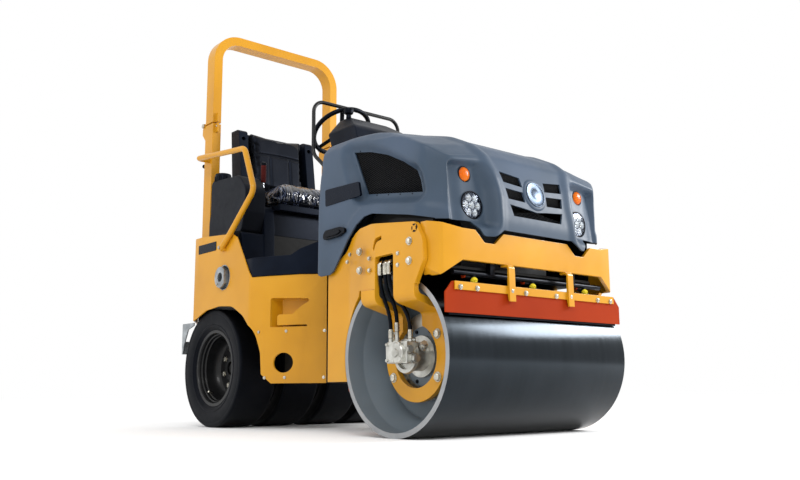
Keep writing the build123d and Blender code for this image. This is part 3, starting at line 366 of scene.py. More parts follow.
def finish_piece(name, shape, material, body):
    """Makes an object from a bmesh, smooth apart from its sharp edges, and puts it on its body."""
    for edge in shape.edges:
        edge.smooth = len(edge.link_faces) == 2 and edge.calc_face_angle(0) < SHARP
    for face in shape.faces:
        face.smooth = True
    mesh = mesh_of(name, shape)
    piece = placed(name, mesh)
    for one in ([material] if isinstance(material, str) else material):
        mesh.materials.append(materials[one])
    flat = piece.modifiers.new("even shading", "WEIGHTED_NORMAL")
    flat.keep_sharp = True
    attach(piece, body)
    return piece


def finish_node(node, shape, material, name=None):
    """Finished piece that takes the place of a CAD node, on its body, with the node hidden."""
    piece = finish_piece(name or node + "_finished", shape, material, body_of[node])
    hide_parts(node)
    return piece


print("each finished piece rides its node's body")

# %% Rounded copies of CAD parts
FLAT = math.radians(1.5)     # faces that meet at less than this are one face


def merged_copy(node):
    """The CAD mesh of a node as a bmesh, with its loose triangles joined."""
    shape = bmesh.new()
    shape.from_mesh(frame["nodes"][node].data)
    bmesh.ops.remove_doubles(shape, verts=shape.verts, dist=MERGE)
    return shape


def bevel_edges(shape, edges, width, segments=2, clamp=True):
    """Rounds edges by width metres. Clamp stops a bevel before it runs into another."""
    bmesh.ops.bevel(shape, geom=edges, offset=width, offset_type="OFFSET", affect="EDGES",
                    segments=segments, profile=0.5, material=-1, clamp_overlap=clamp)


def rounded_copy(node, material, width):
    """Copy of a CAD part with its sharp edges bevelled by width metres."""
    shape = merged_copy(node)
    bmesh.ops.dissolve_degenerate(shape, edges=shape.edges, dist=WELD)
    bmesh.ops.dissolve_limit(shape, angle_limit=FLAT, verts=shape.verts, edges=shape.edges,
                             use_dissolve_boundaries=False)
    bevel_edges(shape, sharp_edges(shape), width, clamp=False)
    return finish_node(node, shape, material)


print("CAD parts can be copied and rounded")

# %% Every part that keeps its CAD shape
rounded_parts = [            # node, material, bevel width in metres
    ("front_side_plates", "yellow_enamel", 0.003),
    ("front_beam", "yellow_enamel", 0.003),
    ("front_frame", "chassis_paint", 0.002),
    ("steering_barrel", "black_enamel", 0.002),
    ("steering_rod", "chrome", 0.0008),
    ("engine_block", "cast_iron", 0.006),
    ("hub_motors", "cast_aluminium", 0.002),
    ("hose_fittings", "zinc_plate", 0.0008),
    ("front_scraper", "yellow_enamel", 0.0012),
    ("scraper_blade", "red_enamel", 0.0012),
    ("scraper_rubber", "hose_rubber", 0.0006),
    ("rear_scraper", "red_enamel", 0.0012),
    ("spray_bar", "black_nylon", 0.002),
    ("rear_side_panels", "yellow_enamel", 0.002),
    ("rear_frame", "chassis_paint", 0.002),
    ("rear_cover", "chassis_paint", 0.002),
    ("rear_bracket", "galvanised_steel", 0.0012),
    ("lashing_eyes", "galvanised_steel", 0.0012),
    ("step_pockets", "yellow_enamel", 0.001),
    ("platform", "polypropylene", 0.0025),
    ("seat_base", "black_nylon", 0.003),
    ("seat_shell", "polypropylene", 0.004),
    ("steering_wheel", "black_nylon", 0.002),
    ("console", "polypropylene", 0.006),
    ("console_guard", "black_enamel", 0.0005),
    ("side_tanks", "polyethylene", 0.008),
    ("side_covers", "polypropylene", 0.006),
    ("rollbar_posts", "yellow_enamel", 0.0025),
    ("rollbar_hoop", "yellow_enamel", 0.003),
    ("handrails", "yellow_enamel", 0.001),
]
rounded = {node: rounded_copy(node, material, width) for node, material, width in rounded_parts}
for node, piece in rounded.items():
    print(node, len(piece.data.polygons), "faces")

# %% [markdown]
# The two halves turn on an upright pin in the tongue of the front half. The real fit is
# snug, but a mesh has facets, and those of a turning pin would cut into those of its bore.
# So the bore of the visible tongue is opened by 0.7 mm.

# %% Room round the pivot pin
pivot_x, bore_reach, bore_growth = 0.060, 0.0375, 0.02
opened = 0
for vertex in rounded["front_frame"].data.vertices:
    from_pin = Vector((vertex.co.x - pivot_x, vertex.co.y, 0))
    if from_pin.length < bore_reach:
        vertex.co += from_pin * bore_growth
        opened += 1
print("opened the bore at", opened, "points")

# %% [markdown]
# The hood is one big moulding, and its soft creases are the face of the machine. It is
# made the way a clay buck is made. A block is first sawn to the outlines seen from the
# side, the front and above. A voxel remesh then gives it an even skin of small squares,
# whose points are pushed in and out to shape the hollows and crests.

# %% Hood block sawn to its outlines
hood_side = [                # x, z
    (0.282, 0.70), (0.290, 1.436), (0.335, 1.476), (0.60, 1.470), (0.80, 1.444),
    (0.95, 1.398), (1.08, 1.335), (1.150, 1.272), (1.192, 1.16), (1.212, 1.06), (1.224, 0.96),
    (1.208, 0.70),
]
hood_across = [              # y, z
    (-0.612, 0.70), (-0.612, 1.04), (-0.605, 1.25), (-0.588, 1.405), (-0.548, 1.455),
    (-0.45, 1.470), (-0.30, 1.478), (0.30, 1.478), (0.45, 1.470), (0.548, 1.455),
    (0.588, 1.405), (0.605, 1.25), (0.612, 1.04), (0.612, 0.70),
]
hood_plan = [                # x, y
    (0.20, -0.612), (1.045, -0.612), (1.092, -0.585), (1.130, -0.545), (1.180, -0.485),
    (1.222, -0.28), (1.226, 0), (1.222, 0.28), (1.180, 0.485), (1.130, 0.545),
    (1.092, 0.585), (1.045, 0.612), (0.20, 0.612),
]


def cut_off(shape, place, normal):
    """Cuts away what lies beyond a plane, on the side that its normal points to."""
    return bmesh.ops.bisect_plane(shape, geom=shape.verts[:] + shape.edges[:] + shape.faces[:],
                                  plane_co=place, plane_no=normal, clear_outer=True)


def saw(shape, outline, first, second, centre, close=True):
    """Cuts a shape along an outline given in two of its axes, and closes each cut with a face."""
    for start, end in zip(outline, outline[1:]):
        place, normal = Vector((0, 0, 0)), Vector((0, 0, 0))
        place[first], place[second] = start
        normal[first], normal[second] = end[1] - start[1], start[0] - end[0]
        if normal.dot(centre - place) > 0:
            normal.negate()
        cut = cut_off(shape, place, normal)
        edges = [item for item in cut["geom_cut"] if isinstance(item, bmesh.types.BMEdge)]
        if edges and close:
            bmesh.ops.contextual_create(shape, geom=edges)


hood_middle = Vector((0.75, 0, 1.0))
hood_block = bmesh.new()
bmesh.ops.create_cube(hood_block, size=3)
bmesh.ops.translate(hood_block, vec=(0.7, 0, 2.18), verts=hood_block.verts)
saw(hood_block, hood_side, 0, 2, hood_middle)
saw(hood_block, hood_across, 1, 2, hood_middle)
saw(hood_block, hood_plan, 0, 1, hood_middle)
print("hood block", len(hood_block.faces), "faces")

# %% Even skin for the hood
def evaluated(name, shape, modifiers):
    """Runs modifiers on a shape and gives back the result as a bmesh. Columns: kind, settings."""
    mesh = mesh_of(name, shape)
    helper = placed(name, mesh)
    for kind, settings in modifiers:
        modifier = helper.modifiers.new(kind, kind)
        for key, value in settings.items():
            setattr(modifier, key, value)
    done = bmesh.new()
    done.from_object(helper, bpy.context.evaluated_depsgraph_get())
    bpy.data.objects.remove(helper)
    bpy.data.meshes.remove(mesh)
    return done


def smoothed(shape, times, factor):
    """Evens out a skin: each time, every point moves by that share towards its neighbours."""
    for _ in range(times):
        bmesh.ops.smooth_vert(shape, verts=shape.verts, factor=factor, use_axis_x=True,
                              use_axis_y=True, use_axis_z=True)


hood_square = 0.008
hood_skin = evaluated("hood_blank", hood_block, [
    ("REMESH", {"mode": "VOXEL", "voxel_size": hood_square})])
smoothed(hood_skin, 12, 0.5)
print("hood skin", len(hood_skin.verts), "points")

# %% [markdown]
# Six shapes are pressed into the skin, each one a small rule for how far a point moves:
# a hollow round the side window, a raised flange along the lower edge, a lamp recess on
# each side of the front, shoulders that drop, a crest that runs down between each recess
# and the grille, and a bonnet that stands a little above the shoulders.

# %% Lines that the shapes follow
side_window = [              # x, z of the mesh window in each side
    (0.526, 1.372), (0.660, 1.346), (0.800, 1.300), (0.925, 1.240), (0.999, 1.188),
    (1.022, 1.135), (1.034, 1.081), (0.635, 1.140),
]
lower_edge = [               # x, z of the hood's lower edge at each side
    (0.430, 0.785), (0.550, 0.921), (0.620, 0.985), (0.681, 1.016), (0.740, 1.022),
    (1.000, 0.975), (1.120, 0.948),
]
inner_crest = [              # x, |y|, z
    (0.70, 0.305, 1.455), (0.897, 0.300, 1.408), (1.121, 0.298, 1.291), (1.170, 0.262, 1.193),
    (1.195, 0.246, 1.070), (1.212, 0.262, 0.931), (1.212, 0.285, 0.880),
]


def soft(value, start, end):
    """0 before start, 1 after end, and a smooth rise between them."""
    share = min(max((value - start) / (end - start), 0), 1)
    return share * share * (3 - 2 * share)


def distance_to(point, line, closed=False):
    """Least distance from a point to a line of points."""
    nearest = 9.0
    ends = line[1:] + (line[:1] if closed else [])
    for start, end in zip(line, ends):
        a, b = Vector(start), Vector(end)
        share = min(max((point - a).dot(b - a) / (b - a).length_squared, 0), 1)
        nearest = min(nearest, (point - a.lerp(b, share)).length)
    return nearest


def is_inside(point, outline):
    """Whether a flat point lies inside a closed outline."""
    inside = False
    for (ax, az), (bx, bz) in zip(outline, outline[1:] + outline[:1]):
        if (az > point[1]) != (bz > point[1]):
            if point[0] < ax + (point[1] - az) * (bx - ax) / (bz - az):
                inside = not inside
    return inside


print("side window of", len(side_window), "corners")

# %% Rules for one point: window, flange and lamp
def press_window(point, normal):
    """Hollow round the side window: pulls the side in to the window's own plane."""
    if abs(normal.y) < 0.3 or abs(point.y) < 0.45 or point.z < 1.0:
        return Vector()
    flat = Vector((point.x, point.z))
    away = 0 if is_inside(flat, side_window) else distance_to(flat, side_window, True)
    share = 1 - soft(away, 0.004, 0.07)
    depth = max(abs(point.y) - 0.556, 0) * share
    return Vector((0, -math.copysign(depth, point.y), 0))


def press_flange(point, normal):
    """Flange that stands proud along the lower edge of each side."""
    if abs(normal.y) < 0.3 or abs(point.y) < 0.5:
        return Vector()
    away = distance_to(Vector((point.x, point.z)), lower_edge)
    return normal * 0.007 * (1 - soft(away, 0.048, 0.066)) * soft(point.x, 0.42, 0.6)


def press_lamp(point, normal):
    """Recess for the headlight and the indicator: pushes the nose back to the lamps' own plane."""
    if normal.x < 0.15 or point.x < 1.05:
        return Vector()
    across = abs(point.y)
    plane_x = 1.155 - 0.12 * (point.z - 1.025) - 0.05 * (across - 0.37)
    plane_x -= 0.010 * soft(across, 0.43, 0.49)
    inner = 0.258 + 0.04 * soft(point.z, 1.10, 1.25)
    share = soft(across, inner, inner + 0.05) * (1 - soft(across, 0.497, 0.520))
    share *= soft(point.z, 0.905, 0.950) * (1 - soft(point.z, 1.203, 1.243))
    return Vector((-max(point.x - plane_x, 0) * share, 0, 0))


print("three rules so far")

# %% Rules for one point: shoulder, crest and bonnet
def press_shoulder(point, normal):
    """The shoulders drop a little more than the middle, more and more towards the front."""
    if point.z < 1.15:
        return Vector()
    drop = 0.040 * soft(abs(point.y), 0.28, 0.62) * soft(point.x, 0.45, 1.0)
    return Vector((0, 0, -drop * soft(point.z, 1.15, 1.28)))


def press_crest(point, normal):
    """Crest between the lamp recess and the grille, which runs back over the top."""
    place = Vector((point.x, abs(point.y), point.z))
    if point.x < 0.66 or place.y < 0.15 or place.y > 0.42 or point.z < 0.86:
        return Vector()
    away = distance_to(place, inner_crest)
    return normal * 0.013 * (1 - soft(away, 0.0, 0.05)) * soft(point.x, 0.72, 1.05)


def press_bonnet(point, normal):
    """The top between the two crests stands a little above the shoulders."""
    if normal.z < 0.5 or point.z < 1.25:
        return Vector()
    share = 1 - soft(abs(point.y), 0.26, 0.36)
    return Vector((0, 0, -0.006 * (1 - share) * soft(point.x, 0.5, 0.9)))


press_rules = (press_window, press_flange, press_lamp, press_shoulder, press_crest, press_bonnet)
print(len(press_rules), "shapes to press")

# %% Press them in
hood_skin.normal_update()
for vertex in hood_skin.verts:
    point, normal = vertex.co.copy(), vertex.normal.copy()
    for press in press_rules:
        vertex.co += press(point, normal)
smoothed(hood_skin, 4, 0.4)
print("pressed", len(hood_skin.verts), "points")

# %% [markdown]
# The openings are cut last, with knives: flat outlines given a thickness. One set trims
# the lower edge, with the two tips that reach down into the beam's notches, and the
# others cut the side windows, the grille slots and the holes for the lamps.

# %% Knives for the hood's openings
def knife(shape, outline, first, second, third, low, high):
    """Adds a prism to a bmesh: an outline in two axes, given a thickness along the third."""
    corners = []
    for a, b in outline:
        place = Vector((0, 0, 0))
        place[first], place[second], place[third] = a, b, low
        corners.append(shape.verts.new(place))
    face = shape.faces.new(corners)
    push = Vector((0, 0, 0))
    push[third] = high - low
    grown = bmesh.ops.extrude_face_region(shape, geom=[face], use_keep_orig=True)
    tops = [item for item in grown["geom"] if isinstance(item, bmesh.types.BMVert)]
    bmesh.ops.translate(shape, vec=push, verts=tops)


def ring_points(across, up, radius, count, start=0):
    """Points evenly round a circle, from start steps on."""
    turns = [math.tau * (step + start) / count for step in range(count)]
    return [(across + radius * math.cos(turn), up + radius * math.sin(turn)) for turn in turns]


print("knives are prisms")

# %% Outlines of the openings
lamp_y, lamp_z, lamp_radius = 0.372, 1.024, 0.066
indicator_y, indicator_z, indicator_radius = 0.399, 1.166, 0.038
grille_slots = [             # y, z
    [(0.084, 1.188), (0.216, 1.202), (0.205, 1.150), (0.078, 1.140)],
    [(0.080, 1.115), (0.199, 1.122), (0.189, 1.070), (0.075, 1.066)],
    [(-0.184, 1.044), (-0.066, 1.034), (0, 1.026), (0.066, 1.034), (0.184, 1.044),
     (0.166, 0.990), (-0.166, 0.990)],
]
trims = [(0.10, 0.60), (0.10, 0.83), (0.276, 0.85), (0.300, 0.778), (0.325, 0.769),
         (0.400, 0.770)] + lower_edge + [(1.120, 0.60)]
tips = [(0.238, 0.916), (0.288, 0.884), (0.300, 0.879), (0.340, 0.879), (0.352, 0.884),
        (0.393, 0.945), (0.70, 0.945), (0.70, 0.60)]
knife_rows = {               # two axes of the outline, axis of the depth, outline, low, high
    "hood_trim_knife": [(0, 2, 1, trims, -0.75, 0.75)],
    "hood_tip_knife": [(1, 2, 0, [(-y, z) for y, z in tips[::-1]] + tips, 1.11, 1.35)],
    "hood_hole_knife": [],
}
for side in (-1, 1):
    low, high = sorted((side * 0.50, side * 0.70))
    knife_rows["hood_hole_knife"] += [
        (0, 2, 1, side_window, low, high),
        (1, 2, 0, ring_points(side * lamp_y, lamp_z, lamp_radius, 32), 1.06, 1.30),
        (1, 2, 0, ring_points(side * indicator_y, indicator_z, indicator_radius, 32), 1.06, 1.30),
    ]
grille_outlines = [[(side * y, z) for y, z in slot] for slot in grille_slots
                   for side in ((-1, 1) if slot[0][0] > 0 else (1,))]
knife_rows["hood_hole_knife"] += [(1, 2, 0, outline, 1.10, 1.30) for outline in grille_outlines]
knives = []
for name, rows in knife_rows.items():
    shape = bmesh.new()
    for first, second, third, outline, low, high in rows:
        knife(shape, outline, first, second, third, low, high)
    bmesh.ops.recalc_face_normals(shape, faces=shape.faces)
    knives.append(placed(name, mesh_of(name, shape)))
print(len(knives), "knives")

# %% Hollow the hood and cut its openings
hood_foot = 0.72             # the block is open below this height
cut_off(hood_skin, (0, 0, hood_foot), (0, 0, -1))
bmesh.ops.recalc_face_normals(hood_skin, faces=hood_skin.faces)
hood_shell = evaluated("hood_shell", hood_skin, [
    ("SOLIDIFY", {"thickness": 0.008, "offset": -1.0})] + [
    ("BOOLEAN", {"object": one, "operation": "DIFFERENCE", "solver": "EXACT"}) for one in knives])
for one in knives:
    bpy.data.meshes.remove(one.data)
hood_finished = finish_node("hood", hood_shell, "slate_enamel")
print("hood", len(hood_finished.data.polygons), "faces")

# %% [markdown]
# Drum, tyres and rims are all turned shapes. Blender's spin operator works like a lathe:
# it carries one cut outline round an axis and closes it. Sharp rims then get a small
# bevel, because a machined edge is never perfectly sharp and its highlight shows that.

# %% Lathe
def lathe(profile, place, axis, steps=96, closed=True, rounding=0):
    """Spins an outline round an axis through place. Columns of profile: along, radius."""
    axis, place = Vector(axis).normalized(), Vector(place)
    side = axis.orthogonal().normalized()
    shape = bmesh.new()
    points = [shape.verts.new(place + axis * along + side * radius) for along, radius in profile]
    pairs = list(zip(points, points[1:])) + ([(points[-1], points[0])] if closed else [])
    edges = [shape.edges.new(pair) for pair in pairs]
    bmesh.ops.spin(shape, geom=points + edges, cent=place, axis=axis, angle=math.tau,
                   steps=steps, use_merge=True)
    bmesh.ops.remove_doubles(shape, verts=shape.verts, dist=WELD)
    bmesh.ops.dissolve_degenerate(shape, edges=shape.edges, dist=WELD)
    bmesh.ops.recalc_face_normals(shape, faces=shape.faces)
    if rounding:
        bevel_edges(shape, sharp_edges(shape), rounding)
    return shape


def joined(shapes):
    """One bmesh out of several."""
    whole = bmesh.new()
    for shape in shapes:
        mesh = mesh_of("part", shape)
        whole.from_mesh(mesh)
        bpy.data.meshes.remove(mesh)
    return whole


def painted(shape, index):
    """Gives every face of a shape the same place in its piece's list of materials."""
    for face in shape.faces:
        face.material_index = index
    return shape


def middle_of(node):
    """Middle of a node's box."""
    low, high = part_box(node)
    return (Vector(low) + Vector(high)) / 2


FINE_EDGE = 0.0012           # bevel on the edges of turned shapes and thin plates
print("lathe ready")

# %% Drum
drum_middle = middle_of("drum")
drum_profile = [             # along the axle, radius
    (-0.408, 0), (-0.408, 0.045), (-0.385, 0.045), (-0.385, 0.150), (-0.391, 0.150),
    (-0.391, 0.276), (-0.385, 0.285), (-0.506, 0.3325), (-0.516, 0.336), (-0.600, 0.336),
    (-0.600, 0.360),
]
drum_shape = lathe(drum_profile + [(-along, radius) for along, radius in drum_profile[::-1]],
                   drum_middle, (0, 1, 0), 160, False, FINE_EDGE)
rolled_from, turned_from = 0.3594, 0.5985    # radius, distance from the middle
for face in drum_shape.faces:
    spot = face.calc_center_median() - drum_middle
    on_edge = abs(spot.y) > turned_from
    face.material_index = 0 if math.hypot(spot.x, spot.z) > rolled_from else 1 if on_edge else 2
drum_finished = finish_node("drum", drum_shape,
                            ["rolled_steel", "turned_steel", "slate_drum_paint"])
print("drum", len(drum_finished.data.polygons), "faces")

# %% [markdown]
# The four tyres are smooth, without a tread, so that they knead the asphalt. Their side
# walls still have moulded rings, and the deep rims carry nuts of bright steel.

# %% Outlines of tyre and rim
tyre_profile = [             # from the middle of the tyre outwards, radius
    (0.0936, 0.212), (0.0936, 0.224), (0.103, 0.232), (0.110, 0.243), (0.1145, 0.246),
    (0.1165, 0.256), (0.1145, 0.259), (0.1175, 0.272), (0.120, 0.292), (0.120, 0.318),
    (0.1188, 0.321), (0.120, 0.325), (0.120, 0.334), (0.1175, 0.342), (0.110, 0.3468),
    (0.100, 0.347),
]
tyre_inside = [(0.074, 0.327), (0.098, 0.312), (0.100, 0.262), (0.076, 0.232), (0.0736, 0.212)]
tyre_loop = (tyre_profile + [(-along, radius) for along, radius in tyre_profile[::-1]]
             + [(-along, radius) for along, radius in tyre_inside[::-1]] + tyre_inside)
rim_loop = [                 # outwards from the tyre's middle, radius
    (-0.0996, 0.196), (-0.0996, 0.226), (-0.0936, 0.226), (-0.0936, 0.2118), (0.0936, 0.2118),
    (0.0936, 0.226), (0.0996, 0.226), (0.0996, 0.208), (0.090, 0.203), (0.078, 0.202),
    (0.073, 0.196), (0.058, 0.195), (0.052, 0.189), (0.010, 0.186), (-0.020, 0.176),
    (-0.034, 0.160), (-0.034, 0.078), (-0.012, 0.072), (-0.010, 0.040), (-0.060, 0.038),
    (-0.060, 0.070), (-0.046, 0.080), (-0.046, 0.165), (-0.052, 0.186),
]
print("tyre outline of", len(tyre_loop), "points, rim of", len(rim_loop))

# %% Cones and bolts
def add_cone(shape, place, outward, low, high, radius, top_radius, segments, index=0):
    """Adds a short cone or disc that stands along outward, from low to high."""
    outward = Vector(outward).normalized()
    turn = outward.to_track_quat("Z", "Y").to_matrix().to_4x4()
    middle = Vector(place) + outward * (low + high) / 2
    made = bmesh.ops.create_cone(
        shape, cap_ends=True, segments=segments, radius1=radius, radius2=top_radius,
        depth=high - low, matrix=Matrix.Translation(middle) @ turn)
    for vertex in made["verts"]:
        for face in vertex.link_faces:
            face.material_index = index


bolt_steps = [               # washer, head and its chamfer, in threads: low, high, radii, sides
    (-0.2, 0.18, 1.12, 1.12, 20), (0.18, 0.66, 0.9, 0.9, 6), (0.66, 0.78, 0.9, 0.68, 6),
]


def add_bolt(shape, place, outward, size):
    """Hex head on a washer. Size is the diameter of its thread."""
    for low, high, radius, top_radius, sides in bolt_steps:
        add_cone(shape, place, outward, low * size, high * size, radius * size,
                 top_radius * size, sides)


print("bolt of", len(bolt_steps), "steps")

# %% Tyres and rims
axle = middle_of("right_outer_tyre")
axle.y = 0
for side_name, side in (("right", -1), ("left", 1)):
    rims = []
    for where, outward in (("outer", side), ("inner", -side)):
        node = f"{side_name}_{where}_tyre"
        place = middle_of(node)
        finish_node(node, lathe(tyre_loop, place, (0, outward, 0), 112), "tyre_rubber")
        rims.append(lathe(rim_loop, place, (0, outward, 0), 72, True, FINE_EDGE))
        nuts = bmesh.new()
        for x, z in ring_points(place.x, place.z, 0.118, 8, 0.35):
            add_bolt(nuts, (x, place.y - 0.034 * outward, z), (0, outward, 0), 0.017)
        valve = place + Vector((-0.122, 0.045 * outward, -0.150))
        valve_lean = (0.3, outward, 0.45)
        add_cone(nuts, valve, valve_lean, -0.012, 0.030, 0.0075, 0.0055, 10)
        rims.append(painted(nuts, 1))
    shaft = bmesh.new()
    add_cone(shaft, axle, (0, side, 0), 0.190, 0.425, 0.0380, 0.0380, 40)
    add_cone(shaft, axle, (0, side, 0), 0.425, 0.437, 0.0380, 0.0300, 40)
    rims.append(shaft)
    rim_piece = finish_node(f"{side_name}_wheel_hub", joined(rims), ["black_enamel", "zinc_plate"],
                            f"{side_name}_rims_finished")
    print(side_name, "rims", len(rim_piece.data.polygons), "faces")

# %% [markdown]
# Bolts are all one shape in several sizes, so one helper makes them and a table says where
# each one sits on the right side. Every one of them is repeated on the left side.

# %% Bolts on the plates, ring, scraper and panels
right, ahead, back = (0, -1, 0), (1, 0, 0), (-1, 0, 0)
bolt_rows = [                # group, body, thread, outward, places
    ("plate_bolts", "front", 0.0165, right, [
        (0.680, -0.640, 0.846), (0.681, -0.640, 0.758), (1.035, -0.640, 0.849),
        (1.033, -0.640, 0.763)]),
    ("plate_bolts", "front", 0.009, right, [
        (0.750, -0.640, 0.806), (0.750, -0.640, 0.751), (0.956, -0.640, 0.805),
        (0.955, -0.640, 0.753), (0.584, -0.625, 0.846), (0.553, -0.617, 0.815)]),
    ("ring_bolts", "front", 0.020, right, [
        (0.724, -0.473, 0.454), (1.026, -0.473, 0.454), (0.724, -0.473, 0.266),
        (1.026, -0.473, 0.266)]),
    ("panel_screws", "rear", 0.0075, (0.388, -0.922, 0), [(-0.329, -0.570, 0.531)]),
    ("panel_screws", "rear", 0.0075, (0.473, -0.881, 0), [
        (-0.175, -0.490, 0.531), (-0.290, -0.552, 0.281), (-0.179, -0.493, 0.281)]),
    ("panel_screws", "rear", 0.0075, (0.757, -0.654, 0), [
        (-0.013, -0.349, 0.531), (-0.015, -0.351, 0.281)]),
    ("rail_bolts", "rear", 0.010, right, [(-0.694, -0.633, 1.046)]),
    ("rear_screws", "rear", 0.010, back, [
        (-1.200, -0.400, 0.800), (-1.200, -0.400, 1.060), (-1.200, -0.130, 0.800),
        (-1.200, -0.130, 1.060)]),
    ("bracket_bolts", "rear", 0.012, back, [(-1.235, -0.500, 0.480), (-1.235, -0.250, 0.480)]),
    ("eye_bolts", "rear", 0.008, right, [(-0.720, -0.626, 0.830)]),
    ("scraper_bolts", "front", 0.011, ahead, [
        (1.2225, -0.519, 0.639), (1.2225, -0.418, 0.639), (1.2265, -0.205, 0.641),
        (1.2225, -0.106, 0.639)]),
]
groups = {}
for group, body, thread, outward, places in bolt_rows:
    shape = groups.setdefault((group, body), bmesh.new())
    for side in (1, -1):
        for x, y, z in places:
            add_bolt(shape, (x, y * side, z), (outward[0], outward[1] * side, outward[2]), thread)
for (group, body), shape in groups.items():
    piece = finish_piece(group, shape, "zinc_plate", body)
    print(group, len(piece.data.polygons), "faces")

# %% [markdown]
# The windows in the hood's sides and nose are covered with expanded metal, a sheet that
# is slit and pulled into diamonds. A grid is turned by 45 degrees, squeezed, cut to the
# opening, and the Wireframe modifier turns its edges into strands. A dark sheet behind the
# strands is painted shade: it stands in for the shadowed engine bay and keeps it out of sight.

# %% Expanded metal for the hood's openings
def grown_outline(outline, share):
    """Outline made larger about its middle."""
    middle = [sum(values) / len(outline) for values in zip(*outline)]
    return [tuple(m + (value - m) * share for value, m in zip(point, middle)) for point in outline]


def flat_grid(outline, cells, stretch, turned):
    """Grid over an outline, cut to it. Cells is the number along the outline's longer side."""
    lows, highs = [min(v) for v in zip(*outline)], [max(v) for v in zip(*outline)]
    centre = Vector(((lows[0] + highs[0]) / 2, (lows[1] + highs[1]) / 2, 0))
    reach = max(highs[0] - lows[0], highs[1] - lows[1])
    shape = bmesh.new()
    bmesh.ops.create_grid(shape, x_segments=cells, y_segments=cells, size=reach)
    bmesh.ops.rotate(shape, verts=shape.verts, matrix=Matrix.Rotation(turned, 3, "Z"))
    bmesh.ops.scale(shape, verts=shape.verts, vec=(1, stretch, 1))
    bmesh.ops.translate(shape, verts=shape.verts, vec=centre)
    middle = sum((Vector((a, b, 0)) for a, b in outline), Vector()) / len(outline)
    saw(shape, outline + outline[:1], 0, 1, middle, close=False)
    return shape


print("a grid becomes strands")

# %% Meshes in the sides and the nose
window_y = 0.5465            # the side meshes lie flat at this distance from the middle
grille_x, grille_z, grille_lean = 1.170, 1.188, 0.18    # a place on the grille, its lean back
last_row = (0, 0, 0, 1)
side_planes = {side: Matrix(((1, 0, 0, 0), (0, 0, side, side * window_y), (0, 1, 0, 0), last_row))
               for side in (-1, 1)}
grille_plane = Matrix(((0, -grille_lean, 1, grille_x + grille_lean * grille_z), (1, 0, 0, 0),
                       (0, 1, 0, 0), last_row))
behind = Matrix.Translation((0, 0, -0.009))


def strands_and_shade_sheet(outline, plane, cells, strand):
    """Strands of expanded metal in a plane, and a dark sheet of painted shade 9 mm behind them."""
    strands = flat_grid(outline, cells, 0.6, math.radians(45))
    strands = evaluated("strands", strands, [("WIREFRAME", {"thickness": strand})])
    bmesh.ops.transform(strands, matrix=plane, verts=strands.verts)
    # the dark sheet is painted shade that stands in for the shadowed engine bay behind the mesh
    mat = flat_grid(outline, 1, 1, 0)
    mat = evaluated("mat", mat, [("SOLIDIFY", {"thickness": 0.002})])
    bmesh.ops.transform(mat, matrix=plane @ behind, verts=mat.verts)
    return [strands, painted(mat, 1)]


side_outline = grown_outline(side_window, 1.03)
side_shapes = [shape for plane in side_planes.values()
               for shape in strands_and_shade_sheet(side_outline, plane, 92, 0.0021)]
side_meshes = finish_piece("side_meshes", joined(side_shapes), ["black_enamel", "painted_shade_sheet"],
                           "hood")
grille_shapes = [shape for outline in grille_outlines
                 for shape in strands_and_shade_sheet(grown_outline(outline, 1.14), grille_plane, 44, 0.0017)]
grille_meshes = finish_piece("grille_meshes", joined(grille_shapes), ["black_enamel", "painted_shade_sheet"],
                             "hood")
print("strands", len(side_meshes.data.polygons), len(grille_meshes.data.polygons), "faces")

# %% [markdown]
# Each headlight is a round black housing with seven small polished bowls behind one clear
# lens, and each indicator is an amber dome above it. All are lathe shapes that face
# straight forward. The blank disc between the grille slots closes the hood's nose.

# %% Headlights
housing = [                  # forwards, radius, and so in the outlines below
    (-0.020, 0), (-0.020, 0.0655), (0.006, 0.0655), (0.0085, 0.063), (0.0085, 0.060),
    (0.002, 0.057), (-0.006, 0.0565), (-0.006, 0),
]
bowl = [(-0.0055, 0), (-0.005, 0.006), (-0.0035, 0.0105), (0.001, 0.0145), (0.002, 0.0172),
        (0.001, 0.0178), (-0.006, 0.0178), (-0.0065, 0)]
bulb = [(-0.006, 0.0032), (0.0005, 0.0030), (0.002, 0)]
lens = [(0.0045, 0), (0.0045, 0.057), (0.0065, 0.057), (0.0080, 0.040), (0.0088, 0.020),
        (0.0090, 0)]
lamp_x, bowl_ring = 1.148, 0.0365
lamp_shapes, lens_shapes = [], []
for side in (-1, 1):
    lamp = (lamp_x, side * lamp_y, lamp_z)
    lamp_shapes.append(lathe(housing, lamp, ahead, 64, False))
    lens_shapes.append(lathe(lens, lamp, ahead, 48, False))
    for y, z in ring_points(side * lamp_y, lamp_z, bowl_ring, 6) + [(side * lamp_y, lamp_z)]:
        lamp_shapes += [painted(lathe(bowl, (lamp_x, y, z), ahead, 28, False), 1),
                        painted(lathe(bulb, (lamp_x, y, z), ahead, 12, False), 2)]
print("headlights with", len(lamp_shapes), "shapes")

# %% Indicators
cup = [(-0.012, 0), (-0.012, 0.0378), (0.005, 0.0378), (0.007, 0.0355), (0.007, 0.0335),
       (-0.002, 0.0325), (-0.002, 0)]
dome = [(-0.001, 0), (-0.001, 0.0325), (0.006, 0.0325), (0.011, 0.029), (0.0145, 0.020),
        (0.016, 0.010), (0.0163, 0)]
indicators = [(1.131, side * indicator_y, indicator_z) for side in (-1, 1)]
lamp_shapes += [lathe(cup, place, ahead, 48, False) for place in indicators]
domes = [lathe(dome, place, ahead, 40, False) for place in indicators]
finish_piece("lamp_housings", joined(lamp_shapes), ["black_nylon", "chrome", "frosted_glass"],
             "hood")
finish_piece("lamp_lenses", joined(lens_shapes), "polycarbonate", "hood")
finish_piece("indicator_lenses", joined(domes), "amber_acrylic", "hood")
print(len(indicators), "indicators")

